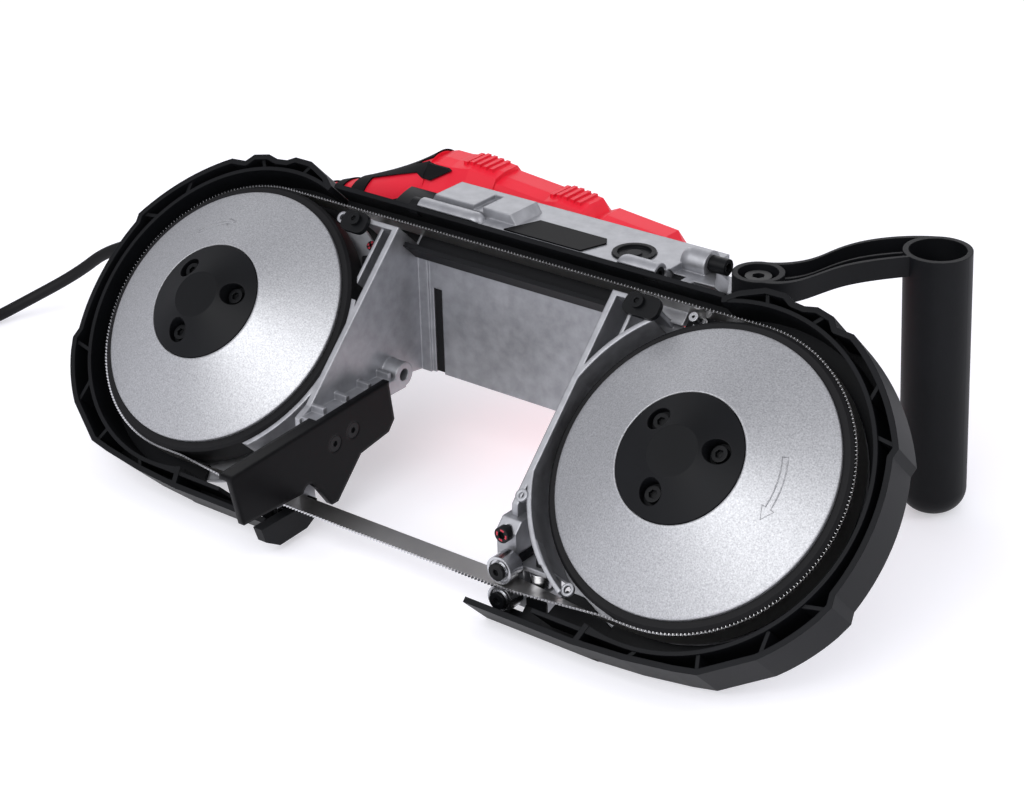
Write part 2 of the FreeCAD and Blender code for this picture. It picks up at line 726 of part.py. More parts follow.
def wheel_bay(side, wall_r, v_low, v_high):
    u = side * WHEEL_U
    web = disc_n(u, 0, WEB_R, WEB_BACK, WEB_FRONT)
    wall = ring_n(u, 0, wall_r + WALL_T, wall_r, WEB_BACK, PILLAR_FRONT)
    edges = sorted((side * THROAT_HALF, side * (THROAT_HALF + 40.5)))
    wall = wall.common(box((edges[0], v_low, WEB_BACK), (edges[1], v_high, PILLAR_FRONT)))
    outer = sorted((side * THROAT_HALF, side * (WHEEL_U + WEB_R)))
    web = web.common(box((outer[0], -WEB_R, WEB_BACK), (outer[1], WEB_R, WEB_FRONT)))
    top = sorted((side * THROAT_HALF, side * (THROAT_HALF + POCKET_REACH)))
    roof = box((top[0], PILLAR_TOP - WALL_T, WEB_BACK), (top[1], PILLAR_TOP, PILLAR_FRONT))
    roof = roof.cut(disc_n(u, 0, wall_r, WEB_BACK - 1, PILLAR_FRONT + 1))
    corner = [(side * THROAT_HALF, 20), (side * THROAT_HALF, PILLAR_TOP)]
    corner += [(side * (THROAT_HALF + 30), PILLAR_TOP), (side * (THROAT_HALF + 30), 50)]
    back = plate_n(corner, WEB_BACK, WEB_FRONT)
    rib_u = side * (THROAT_HALF + 13.0)
    rib = box((rib_u - 1.0, 40, WEB_BACK), (rib_u + 1.0, PILLAR_TOP, PILLAR_FRONT - 4.0))
    rib = rib.cut(disc_n(u, 0, wall_r, WEB_BACK - 1, PILLAR_FRONT + 1))
    return [web, wall, roof, back, rib]


def main_frame():
    rear = wheel_bay(-1, REAR_WALL_R, -64, 30)
    front = wheel_bay(1, FRONT_WALL_R, -69, 66)
    seat = disc_n(-WHEEL_U, 0, BEARING_R + 6.0, WEB_BACK - 6.0, WEB_FRONT)
    castings = [lean(piece) for piece in rear + front + [seat]]
    bend, top, back, inner = case_points()
    panel = [(PANEL_Y, PANEL_BOTTOM), (bend.y, bend.z), (inner.y, inner.z), (inner.y, PANEL_BOTTOM)]
    shelf = [(bend.y, bend.z), (top.y, top.z), (back.y, back.z), (inner.y, inner.z)]
    reach = THROAT_HALF + PILLAR_T
    castings.append(plate_x(panel, -reach, reach))
    castings.append(plate_x(shelf, -reach, COVER_RIGHT))
    castings.append(pillar(-1, PILLAR_FOOT_L, PILLAR_BOTTOM_Z))
    castings.append(pillar(1, PILLAR_FOOT_R, PILLAR_BOTTOM_Z))
    x_wall = -THROAT_HALF
    ledge_low = LEDGE_Z - LEDGE_H
    castings.append(box((x_wall, LEDGE_FRONT, ledge_low), (x_wall + LEDGE_W, LEDGE_BACK, LEDGE_Z)))
    for y in (-24.0, -6.0, 12.0, 28.0):
        castings.append(box((x_wall, y, LEDGE_Z), (x_wall + LEDGE_W - 2.0, y + 2.5, LEDGE_Z + 4.0)))
    castings.append(rod_x(LEDGE_BACK - 1.0, LEDGE_Z, LEDGE_BOSS_R, x_wall, x_wall + LEDGE_W))
    lug_back = stop_lug_back()
    for y, z in STOP_SCREWS:
        castings.append(rod_x(y, z, STOP_LUG_R, lug_back, x_wall + LEDGE_W))
        neck_low = (lug_back, y - STOP_LUG_R, z)
        castings.append(box(neck_low, (x_wall + LEDGE_W, y + STOP_LUG_R, ledge_low + 1.0)))
    castings.append(box((x_wall, PANEL_Y - 1.6, PANEL_BOTTOM), (x_wall + 6.5, PANEL_Y, bend.z - 1.0)))
    pin = disc_n(LEVER_U, 0, LEVER_PIN_R, WEB_BACK - CARRIAGE_T - LEVER_HUB_T - 1.0, WEB_BACK)
    castings.append(lean(pin))
    frame = fuse(castings)
    slot_half = SLOT_L / 2.0
    slot_low = (WHEEL_U - slot_half, -SLOT_H / 2.0, WEB_BACK - 1.0)
    frame = frame.cut(lean(box(slot_low, (WHEEL_U + slot_half, SLOT_H / 2.0, WEB_FRONT + 1.0))))
    bore = disc_n(-WHEEL_U, 0, BEARING_R + SEAT_GAP, WEB_BACK - 7.0, WEB_FRONT + 1.0)
    frame = frame.cut(lean(bore))
    frame = frame.cut(rod_x(LEDGE_BACK - 1.0, LEDGE_Z, LEDGE_BOSS_HOLE, x_wall - 1, x_wall + LEDGE_W + 1))
    for y, z in STOP_SCREWS:
        frame = frame.cut(rod_x(y, z, ROLLER_PIN_R, lug_back + 0.5, x_wall + LEDGE_W + 1))
    room_back = TYRE_BACK - TYRE_ROOM
    room_front = TYRE_FRONT + TYRE_ROOM
    tyre_room = disc_n(WHEEL_U - SLIDE_TRAVEL, 0, TYRE_R + TYRE_ROOM, room_back, room_front)
    frame = frame.cut(lean(tyre_room))
    for u, v in tab_screw_places():
        frame = frame.cut(lean(disc_n(u, v, 2.1, PILLAR_FRONT - 4.0, PILLAR_FRONT + 1.0)))
    slot = box((x_wall + 9.0, PANEL_Y - 1.0, PANEL_BOTTOM - 1.0), (x_wall + 15.0, PANEL_Y + 2.0, 16.0))
    return frame.cut(slot)


def cover_lip():
    lip_n = (COVER_TOP_Z - CASE_V * C) / S
    return to_body(0, CASE_V, lip_n)


def hinge_axis():
    return V(0, cover_lip().y + HINGE_IN, COVER_TOP_Z - HINGE_DROP)


def hinge_bosses():
    axis = hinge_axis()
    bosses = []
    for x0, x1, tip in ((COVER_LEFT, HINGE_LEFT_END, HINGE_LEFT_END), HINGE_RIGHT + HINGE_RIGHT[:1]):
        bosses.append(rod_x(axis.y, axis.z, HINGE_R, x0, x1))
        bosses.append(Part.makeSphere(HINGE_R, V(tip, axis.y, axis.z)))
    low = (COVER_LEFT, 0.0, COVER_TOP_Z - CASE_WALL)
    keep = box(low, (COVER_RIGHT, COVER_BACK_Y, COVER_TOP_Z + 2.0 * HINGE_R))
    return [boss.common(keep) for boss in bosses]


def cover_ear(low_z):
    wires = []
    for corners, z in ((EAR_FOOT, low_z), (EAR_TOP, END_STEP_Z)):
        points = [V(x, y, z) for x, y in corners]
        wires.append(Part.makePolygon(points + [points[0]]))
    return Part.makeLoft(wires, True, True)


def boss_rod(r, z0, z1):
    return rod((ARM_BOSS_X, ARM_BOSS_Y, z0), (ARM_BOSS_X, ARM_BOSS_Y, z1), r)


def arm_lug(cover_low):
    arm_floor = ARM_Z - ARM_H
    lug_low = arm_floor - 10.0
    front = ARM_BOSS_Y - 11.0
    back = ARM_BOSS_Y + 8.0
    return [
        box((END_STEP_X, front, lug_low), (ARM_BOSS_X, back, arm_floor)),
        boss_rod(ARM_BOSS_R - 1.0, lug_low, arm_floor),
        box((END_STEP_X, front, lug_low), (COVER_RIGHT, back, cover_low + 2.0)),
    ]


def case_cover():
    bend, top, back, inner = case_points()
    lip = cover_lip()
    under = COVER_TOP_Z - CASE_WALL
    profile = [
        (top.y, top.z), (lip.y, lip.z), (COVER_BACK_Y, COVER_TOP_Z), (COVER_BACK_Y, top.z),
        (COVER_BACK_Y - CASE_WALL, top.z), (COVER_BACK_Y - CASE_WALL, under),
        (back.y, under), (back.y, back.z),
    ]
    roof = plate_x(profile, COVER_LEFT, COVER_RIGHT)
    roof = roof.cut(box((END_STEP_X, 0.0, END_STEP_Z), (COVER_RIGHT + 1, END_STEP_Y, COVER_TOP_Z + 1)))
    rise = COVER_TOP_Z + PLATEAU_H
    plateau = [(COVER_LEFT, COVER_TOP_Z - 1), (COVER_LEFT + PLATEAU_RAMP, rise)]
    plateau += [(PLATEAU_END - PLATEAU_RAMP, rise), (PLATEAU_END, COVER_TOP_Z - 1)]
    pieces = [roof, plate_y(plateau, PLATEAU_FRONT, PLATEAU_BACK), cover_ear(top.z)]
    pieces += hinge_bosses() + arm_lug(top.z)
    start, end = lug_line()
    pieces.append(rod(start, end, LUG_R))
    pieces.append(Part.makeSphere(LUG_R, V(*start)))
    cover = fuse(pieces).cut(lean(box((-300, -200, -200), (300, CASE_V, 200))))
    plug_low = COVER_TOP_Z - PLUG_T + 1.0
    plug_hole = rod((PLUG_X, PLUG_Y, plug_low), (PLUG_X, PLUG_Y, COVER_TOP_Z + 9), PLUG_R + 0.2)
    cover = cover.cut(plug_hole)
    arm_floor = ARM_Z - ARM_H
    arm_room = boss_rod(ARM_BOSS_R + 0.8, arm_floor, ARM_Z + 9)
    bolt = boss_rod(ARM_BOLT_R + SCREW_HOLE_GAP, 0, ARM_Z)
    slot = box(PLATEAU_SLOT[0] + (rise - 2.5,), PLATEAU_SLOT[1] + (rise + 1,))
    axis = hinge_axis()
    screw_in = HINGE_RIGHT[1] - HINGE_SCREW_L
    screw_hole = rod_x(axis.y, axis.z, HINGE_SCREW_R + SCREW_HOLE_GAP, screw_in - 1.0, HINGE_RIGHT[1] + 3.0)
    clip_low = (CHANNEL_CLIP[0] - PART_GAP, CASE_V - 1.0, CASE_N - 0.5)
    clip_room = lean(box(clip_low, (CHANNEL_CLIP[1] + PART_GAP, CHANNEL_CLIP_TOP + PART_GAP, 20.0)))
    return cover.cut(arm_room).cut(bolt).cut(slot).cut(screw_hole).cut(clip_room)


def lug_line():
    return (LUG_X, LUG_Y, COVER_TOP_Z), (LUG_X + LUG_L, LUG_Y, COVER_TOP_Z)


def label_plate():
    return plate_z(list(LABEL_CORNERS), COVER_TOP_Z, COVER_TOP_Z + LABEL_T)


def cover_plug():
    seat = COVER_TOP_Z - PLUG_T + 1.0
    plug = rod((PLUG_X, PLUG_Y, seat), (PLUG_X, PLUG_Y, seat + PLUG_T), PLUG_R)
    ring = rod((PLUG_X, PLUG_Y, seat + PLUG_T - 1.5), (PLUG_X, PLUG_Y, seat + PLUG_T + 1), PLUG_R - 2.5)
    core = rod((PLUG_X, PLUG_Y, seat), (PLUG_X, PLUG_Y, seat + PLUG_T - 0.6), 4.0)
    return fuse([plug.cut(ring), core])


# Guides for the cutting run
def guide_bracket():
    front = BLADE_LINE.y + BLADE_W / 2.0 + BRACKET_GAP
    upper = [(front, -58.0), (front, BRACKET_TOP - 5.0), (front + 5.0, BRACKET_TOP)]
    upper += [(front + 20.0, BRACKET_TOP), (front + 14.0, -58.0)]
    lower = [(front, BRACKET_LOW), (front, -58.0), (BRACKET_BACK, -58.0), (BRACKET_BACK, BRACKET_LOW)]
    bracket = fuse([
        plate_x(upper, TONGUE_END, GUIDE_X + 1.0),
        plate_x(lower, TONGUE_END, BACKUP_X + 7.0),
    ])
    for z in (1, -1):
        line = roller_z(z)
        hole = rod((GUIDE_X, front - 1, line), (GUIDE_X, BRACKET_BACK + 9, line), ROLLER_PIN_R + SEAT_GAP)
        bracket = bracket.cut(hole)
    y = backup_y()
    room = BACKUP_R + 0.8
    half = BACKUP_L / 2.0 + 0.4
    bracket = bracket.cut(box((BACKUP_X - room, front - 9, BLADE_LINE.z - half),
                              (BACKUP_X + room + 9, y + room, BLADE_LINE.z + half)))
    pin = rod((BACKUP_X, y, BLADE_LINE.z - 13), (BACKUP_X, y, BLADE_LINE.z + 13), BACKUP_PIN_R + SEAT_GAP)
    bracket = bracket.cut(pin)
    screw_z = BRACKET_TOP - BRACKET_SCREW_DROP
    screw_hole = rod((BRACKET_SCREW_X, front - 1, screw_z), (BRACKET_SCREW_X, front + 9, screw_z), 3.05)
    bracket = bracket.cut(screw_hole)
    wheel_room = disc_n(WHEEL_U, 0, FRONT_WALL_R + WALL_T + PART_GAP, -80, 30)
    return bracket.cut(lean(wheel_room))


def roller_z(side):
    return BLADE_LINE.z + side * (BLADE_T / 2.0 + ROLLER_GAP + ROLLER_R)


def backup_y():
    return BLADE_LINE.y + BLADE_W / 2.0 + ROLLER_GAP + BACKUP_R + 0.4


def guide_roller(side, level):
    y0 = BLADE_LINE.y - ROLLER_L / 2.0
    z = roller_z(level)
    x = side * GUIDE_X
    wheel = rod((x, y0, z), (x, y0 + ROLLER_L, z), ROLLER_R)
    groove = rod((x, y0 - 1, z), (x, y0 + 0.8, z), ROLLER_R - 1.6)
    groove = groove.cut(rod((x, y0 - 2, z), (x, y0 + 1, z), ROLLER_R - 3.0))
    return wheel.cut(groove).cut(rod((x, y0 - 1, z), (x, y0 + ROLLER_L + 1, z), ROLLER_PIN_R + RUN_GAP))


def backup_roller(side):
    x = side * BACKUP_X
    y = backup_y()
    z = BLADE_LINE.z
    wheel = rod((x, y, z - BACKUP_L / 2.0), (x, y, z + BACKUP_L / 2.0), BACKUP_R)
    return wheel.cut(rod((x, y, z - 9), (x, y, z + 9), BACKUP_PIN_R + RUN_GAP))


def guide_pins():
    front = BLADE_LINE.y + BLADE_W / 2.0 + BRACKET_GAP
    y0 = BLADE_LINE.y - ROLLER_L / 2.0 - 0.3
    pins = []
    for side in (1, -1):
        for level in (1, -1):
            z = roller_z(level)
            x = side * GUIDE_X
            shank = rod((x, y0, z), (x, BRACKET_BACK + 8, z), ROLLER_PIN_R)
            collar = rod((x, BLADE_LINE.y + ROLLER_L / 2.0 + 0.3, z), (x, front, z), ROLLER_PIN_R + 1.5)
            head = rod((x, y0 - 2.0, z), (x, y0, z), ROLLER_PIN_R + 1.6)
            dimple = plate_n(hexagon((0, 0), 1.9), 0, 1.6)
            dimple = aimed(dimple, (x, y0 - 2.1, z), (0, 1, 0))
            pins.append(fuse([shank, collar, head]).cut(dimple))
        x = side * BACKUP_X
        pins.append(rod((x, backup_y(), BLADE_LINE.z - 12), (x, backup_y(), BLADE_LINE.z + 12), BACKUP_PIN_R))
    return Part.Compound(pins)


def stop_lug_back():
    return PART_GAP - TONGUE_END


def work_stop():
    start = (STOP_X, -100, -31)
    notch = BLADE_LINE.y + 5.0
    steps = [
        [(STOP_X, -94, -58)], [(STOP_X, notch - 4.5, -59)],
        [(STOP_X, notch, -55.5), (STOP_X, notch + 4.5, -59)], [(STOP_X, -37, -62)],
        [(STOP_X, -28, -75)], [(STOP_X, -23, -75)], [(STOP_X, -3, -54.5)], [(STOP_X, 20, -51)],
        [(STOP_X, 25, -45)], [(STOP_X, 22, -24)], [start],
    ]
    plate = Part.Face(line_wire(start, steps)).extrude(V(-STOP_T, 0, 0))
    lip = [(-100, -31), (22, -24), (22, -24 + STOP_LIP_T), (-100, -31 + STOP_LIP_T)]
    flange = plate_x(lip, STOP_X - STOP_LIP, STOP_X)
    rib_room = box((STOP_X - STOP_LIP - 1, LEDGE_FRONT, LEDGE_Z - 9), (STOP_X - STOP_T, 60, LEDGE_Z + 4.6))
    stop = fuse([plate, flange.cut(rib_room)])
    for y, z in STOP_SCREWS:
        hole = rod_x(y, z, ROLLER_PIN_R + SCREW_HOLE_GAP, STOP_X - STOP_T - 1, STOP_X + 1)
        sink = Part.makeCone(ROLLER_PIN_R, STOP_SCREW_R + 0.1, 2.4, V(STOP_X - 2.4, y, z), V(1, 0, 0))
        stop = stop.cut(hole).cut(sink)
    return stop


def frame_screws():
    screws = []
    for y, z in STOP_SCREWS:
        cone = Part.makeCone(ROLLER_PIN_R - 0.1, STOP_SCREW_R, 2.3, V(STOP_X - 2.4, y, z), V(1, 0, 0))
        shank = rod_x(y, z, ROLLER_PIN_R - 0.1, stop_lug_back() + 1.0, STOP_X - 2.4)
        socket = aimed(plate_n(hexagon((0, 0), 1.8), 0, 2), (STOP_X - 1.6, y, z), (1, 0, 0))
        screws.append(fuse([cone, shank]).cut(socket))
    front = BLADE_LINE.y + BLADE_W / 2.0 + BRACKET_GAP
    for x in (BRACKET_SCREW_X, -BRACKET_SCREW_X):
        screw = socket_screw(0, 3.0, 8.0, 4.3, 4.0, 2.2, 2.0)
        screws.append(aimed(screw, (x, front - 4.0, BRACKET_TOP - BRACKET_SCREW_DROP), (0, -1, 0)))
    end = lug_line()[1]
    head = disc_n(0, 0, LUG_HEAD_R, 0, LUG_HEAD_L)
    screw = head.cut(plate_n(hexagon((0, 0), 2.6), LUG_HEAD_L - 3.0, LUG_HEAD_L + 1.0))
    screws.append(aimed(screw, (end[0], end[1], end[2] + LUG_HEAD_UP), (1, 0, 0)))
    axis = hinge_axis()
    hinge = disc_n(0, 0, HINGE_SCREW_R, 0, HINGE_SCREW_L)
    hinge = hinge.cut(plate_n(hexagon((0, 0), 2.2), HINGE_SCREW_L - 2.5, HINGE_SCREW_L + 1.0))
    screws.append(aimed(hinge, (HINGE_RIGHT[1] - HINGE_SCREW_L, axis.y, axis.z), (1, 0, 0)))
    for u, v in tab_screw_places():
        screw = socket_screw(0, 2.0, 3.5, 3.6, 2.2, 1.7, 1.4)
        screw.translate(V(u, v, PILLAR_FRONT + 3.0 + 2.2))
        screws.append(lean(screw))
    arm_seat = ARM_Z - ARM_H + ARM_FLOOR
    bolt = socket_screw(0, ARM_BOLT_R, 22.0, ARM_BOLT_HEAD_R, 6.0, 3.4, 3.5)
    bolt.translate(V(ARM_BOSS_X, ARM_BOSS_Y, arm_seat + 6.0))
    screws.append(bolt)
    return Part.Compound(screws)


def tab_screw_places():
    return ((-THROAT_HALF - 27.0, 72.0), (THROAT_HALF + 19.0, 72.0))


def blade_tabs():
    tabs = []
    for side, (u, v) in zip((-1, 1), tab_screw_places()):
        reach = (u - 9.0, u + 8.0) if side < 0 else (u - 8.0, u + 13.0)
        tab = box((reach[0], v - 7.0, PILLAR_FRONT), (reach[1], v + 5.0, PILLAR_FRONT + 3.0))
        upright = [edge for edge in tab.Edges if abs(edge.tangentAt(edge.FirstParameter).z) > 0.9]
        tab = tab.makeFillet(4.5, upright)
        tab = tab.cut(disc_n(u, v, 2.1, PILLAR_FRONT - 1, PILLAR_FRONT + 4))
        tabs.append(lean(tab))
    return Part.Compound(tabs)


# Front handle
def on_circle(x, y, r, degrees):
    a = math.radians(degrees)
    return (x + r * math.cos(a), y + r * math.sin(a))


def arm_edge(bends, angles):
    start = on_circle(ARM_BOSS_X, ARM_BOSS_Y, ARM_BOSS_R, angles[0])
    end = on_circle(GRIP_X, GRIP_Y, GRIP_R, angles[1])
    curve = Part.BSplineCurve()
    curve.interpolate([V(x, y, 0) for x, y in (start,) + bends + (end,)])
    first = curve.FirstParameter
    span = curve.LastParameter - first
    return [curve.value(first + span * k / ARM_STEPS) for k in range(ARM_STEPS + 1)]


# A row of points along the arm: a share of the way from its far edge to its near one, and a shift
def arm_row(share, shift):
    far_edge = arm_edge(ARM_FAR_BENDS, ARM_FAR_ANGLES)
    near_edge = arm_edge(ARM_NEAR_BENDS, ARM_NEAR_ANGLES)
    points = []
    for far, near in zip(far_edge, near_edge):
        across = near - far
        points.append(far + across * (share + shift / across.Length))
    return points


def arm_between(far_row, near_row, z0, z1):
    up = V(0, 0, z0)
    sides = []
    for row in (far_row, near_row):
        spline = Part.BSplineCurve()
        spline.interpolate([point + up for point in row])
        sides.append(spline.toShape())
    ends = [Part.LineSegment(far_row[k] + up, near_row[k] + up).toShape() for k in (0, -1)]
    wire = Part.Wire(Part.__sortEdges__(sides + ends))
    return Part.Face(wire).extrude(V(0, 0, z1 - z0))


def leaning_rod(r, z0, z1):
    circles = []
    for z in (z0, z1):
        drop = (ARM_Z - z) / (ARM_Z - FLOOR_Z)
        centre = V(GRIP_X + GRIP_LEAN_X * drop, GRIP_Y + GRIP_LEAN_Y * drop, z)
        circles.append(Part.Wire(Part.makeCircle(r, centre, V(0, 0, 1))))
    return Part.makeLoft(circles, True, True)


def front_handle():
    low = ARM_Z - ARM_H
    half_rib = ARM_RIB_T / 2.0
    grip = leaning_rod(GRIP_R, FLOOR_Z, ARM_Z)
    rims = [edge for edge in grip.Edges if edge.Closed and abs(edge.CenterOfMass.z - FLOOR_Z) < 0.1]
    grip = grip.makeFillet(GRIP_ROUND, rims)
    boss = boss_rod(ARM_BOSS_R, low, ARM_Z)
    handle = fuse([arm_between(arm_row(0, 0), arm_row(1, 0), low, ARM_Z), grip, boss])
    trough = arm_between(arm_row(0, ARM_WALL), arm_row(1, -ARM_WALL), low + ARM_FLOOR, ARM_Z + 1)
    rib = arm_between(arm_row(0.5, -half_rib), arm_row(0.5, half_rib), low, ARM_Z - ARM_RIB_DROP)
    trough = trough.cut(rib).cut(leaning_rod(GRIP_R, FLOOR_Z, ARM_Z + 5))
    trough = trough.cut(boss_rod(ARM_BOSS_R, low, ARM_Z + 5))
    handle = handle.cut(trough)
    handle = handle.cut(leaning_rod(GRIP_BORE, ARM_Z - GRIP_BORE_DEPTH, ARM_Z + 1))
    well = boss_rod(ARM_BOSS_R - ARM_WALL, low + ARM_FLOOR, ARM_Z + 1)
    hole = boss_rod(ARM_BOLT_R + SCREW_HOLE_GAP, low - 1, ARM_Z)
    return handle.cut(well).cut(hole)


# Tension carriage and lever behind the front wheel
def tension_carriage():
    back = WEB_BACK - PART_GAP - CARRIAGE_T
    half_l = CARRIAGE_L / 2.0
    half_h = CARRIAGE_H / 2.0
    plate = box((WHEEL_U - half_l, -half_h, back), (WHEEL_U + half_l, half_h, WEB_BACK - PART_GAP))
    neck_half = SLOT_L / 2.0 - SLIDE_TRAVEL - 1.0
    neck_h = SLOT_H / 2.0 - PART_GAP
    neck = box((WHEEL_U - neck_half, -neck_h, back), (WHEEL_U + neck_half, neck_h, WEB_FRONT + 1.5))
    bore = disc_n(WHEEL_U, 0, SHAFT_R + SEAT_GAP, back - 1, WEB_FRONT + 9)
    flange_room = disc_n(WHEEL_U, 0, AXLE_FLANGE_R + SEAT_GAP, back - 1, back + AXLE_FLANGE_T)
    return fuse([plate, neck]).cut(bore).cut(flange_room)


def idler_axle():
    back = WEB_BACK - PART_GAP - CARRIAGE_T
    shaft = disc_n(WHEEL_U, 0, SHAFT_R, back, CAP_SEAT - COVER_T - 1.0)
    flange = disc_n(WHEEL_U, 0, AXLE_FLANGE_R, back, back + AXLE_FLANGE_T)
    shoulder = ring_n(WHEEL_U, 0, SHAFT_R + 2.5, SHAFT_R - 1, WEB_FRONT + 1.5, HUB_BACK - 0.3)
    return fuse([shaft, flange, shoulder])


def tension_lever():
    cam_top = WEB_BACK - PART_GAP
    cam_back = WEB_BACK - CARRIAGE_T
    hub_back = cam_back - LEVER_HUB_T
    cam = disc_n(LEVER_U + LEVER_CAM_OFFSET, 0, LEVER_CAM_R, cam_back, cam_top)
    hub = disc_n(LEVER_U, 0, LEVER_HUB_R, hub_back, cam_back)
    half = LEVER_ARM_W / 2.0
    arm = box((LEVER_U - half, -LEVER_ARM, hub_back), (LEVER_U + half, 0, hub_back + LEVER_HUB_T - 1.0))
    end = disc_n(LEVER_U, -LEVER_ARM, half + 2.0, hub_back - 2.0, hub_back + LEVER_HUB_T - 1.0)
    bore = disc_n(LEVER_U, 0, LEVER_PIN_R + RUN_GAP, hub_back - 1, cam_top + 1)
    return fuse([cam, hub, arm, end]).cut(bore)


def bearings(u, spans):
    rings = []
    for n0, n1 in spans:
        race = ring_n(u, 0, BEARING_R, SHAFT_R + RUN_GAP, n0, n1)
        for n in (n0, n1):
            groove = ring_n(u, 0, BEARING_R - 2.0, SHAFT_R + 2.0, n - 0.6, n + 0.6)
            race = race.cut(groove)
        rings.append(race)
    return rings


# Gear train
def drive_shaft():
    return disc_n(-WHEEL_U, 0, SHAFT_R, GEARBOX_END + GEARBOX_CAP_T + 1.0, CAP_SEAT - COVER_T)


def worm_wheel():
    r = WORM_MODULE * WORM_WHEEL_TEETH / 2.0
    half = WORM_WHEEL_W / 2.0
    first = math.pi / 2.0 + math.pi / WORM_WHEEL_TEETH
    outline = [(x - WHEEL_U, y) for x, y in gear_outline(r, WORM_WHEEL_TEETH, WORM_MODULE, first)]
    wheel = plate_n(outline, WORM_N - half, WORM_N + half)
    hub = disc_n(-WHEEL_U, 0, SHAFT_R + 6.0, WORM_N - half, WORM_N + half + 6.0)
    return fuse([wheel, hub]).cut(disc_n(-WHEEL_U, 0, SHAFT_R + SEAT_GAP, WORM_N - 30, WORM_N + 30))


def worm_shaft_end():
    return MOTOR_LEFT - SPUR_BOX_WALL / 2.0


def worm_shaft():
    lead = math.pi * WORM_MODULE
    root = WORM_R - 1.2 * WORM_MODULE
    tip = WORM_R + 0.85 * WORM_MODULE
    length = lead * WORM_TURNS
    helix = Part.makeHelix(lead, length, WORM_R)
    wide = 0.30 * lead
    narrow = 0.12 * lead
    corners = [V(root - 0.4, 0, -wide), V(tip, 0, -narrow), V(tip, 0, narrow), V(root - 0.4, 0, wide)]
    profile = Part.makePolygon(corners + [corners[0]])
    thread = Part.Wire(helix.Edges).makePipeShell([profile], True, True)
    core = Part.makeCylinder(root, length + 2.0 * lead, V(0, 0, -lead))
    worm = core.fuse(thread)
    worm.rotate(V(0, 0, 0), V(0, 1, 0), 90)
    face_wheel = V(0, -1, 0)
    start = V(0, 0, -1)
    turn = math.degrees(start.getAngle(face_wheel))
    worm.rotate(V(0, 0, 0), V(1, 0, 0), -turn)
    worm.translate(V(-WHEEL_U - length / 2.0, WORM_V, WORM_N))
    left = TUNNEL_END + TUNNEL_WALL + 1.0
    shaft = Part.makeCylinder(WORM_SHAFT_R, worm_shaft_end() - left, V(left, WORM_V, WORM_N), V(1, 0, 0))
    return lean(worm.fuse(shaft))


def spur_gear():
    outline = gear_outline(SPUR_R, SPUR_TEETH, SPUR_MODULE, math.radians(MOTOR_ANGLE))
    points = [(WORM_LINE.y + y, WORM_LINE.z + z) for y, z in outline]
    gear = plate_x(points, SPUR_X, SPUR_X + SPUR_W)
    return gear.cut(rod_x(WORM_LINE.y, WORM_LINE.z, WORM_SHAFT_R + SEAT_GAP, SPUR_X - 1, SPUR_X + SPUR_W + 1))


def motor_pinion():
    first = math.radians(MOTOR_ANGLE) + math.pi + math.pi / PINION_TEETH
    outline = gear_outline(PINION_R, PINION_TEETH, SPUR_MODULE, first)
    points = [(MOTOR_Y + y, MOTOR_Z + z) for y, z in outline]
    gear = plate_x(points, SPUR_X - 1.0, SPUR_X + SPUR_W + 1.0)
    return gear.cut(rod_x(MOTOR_Y, MOTOR_Z, MOTOR_SHAFT_R + SEAT_GAP, SPUR_X - 9, SPUR_X + SPUR_W + 9))


def spur_box(grow):
    x0 = SPUR_X - SPUR_ROOM - grow
    x1 = MOTOR_LEFT - SPUR_BOX_WALL + grow
    big = SPUR_R + SPUR_MODULE + SPUR_ROOM + grow
    small = PINION_R + SPUR_MODULE + SPUR_ROOM + grow
    return fuse([
        rod_x(WORM_LINE.y, WORM_LINE.z, big, x0, x1),
        rod_x(MOTOR_Y, MOTOR_Z, small, x0, x1),
    ])


def motor_bell():
    r_in = MOTOR_R + PART_GAP
    left = MOTOR_LEFT - SPUR_BOX_WALL
    right = MOTOR_LEFT + BELL_L
    bell = rod_x(MOTOR_Y, MOTOR_Z, r_in + BELL_WALL, left, right)
    bell = bell.cut(rod_x(MOTOR_Y, MOTOR_Z, r_in, MOTOR_LEFT, right + 1))
    saddle_low = (left - 1, SADDLE_ROWS[0][0] - 2.0 * PART_GAP, MOTOR_Z + SADDLE_FOOT - 1.0)
    return bell.cut(box(saddle_low, (right + 1, MOTOR_Y + MOTOR_R + 9, MOTOR_Z + MOTOR_R + 9)))


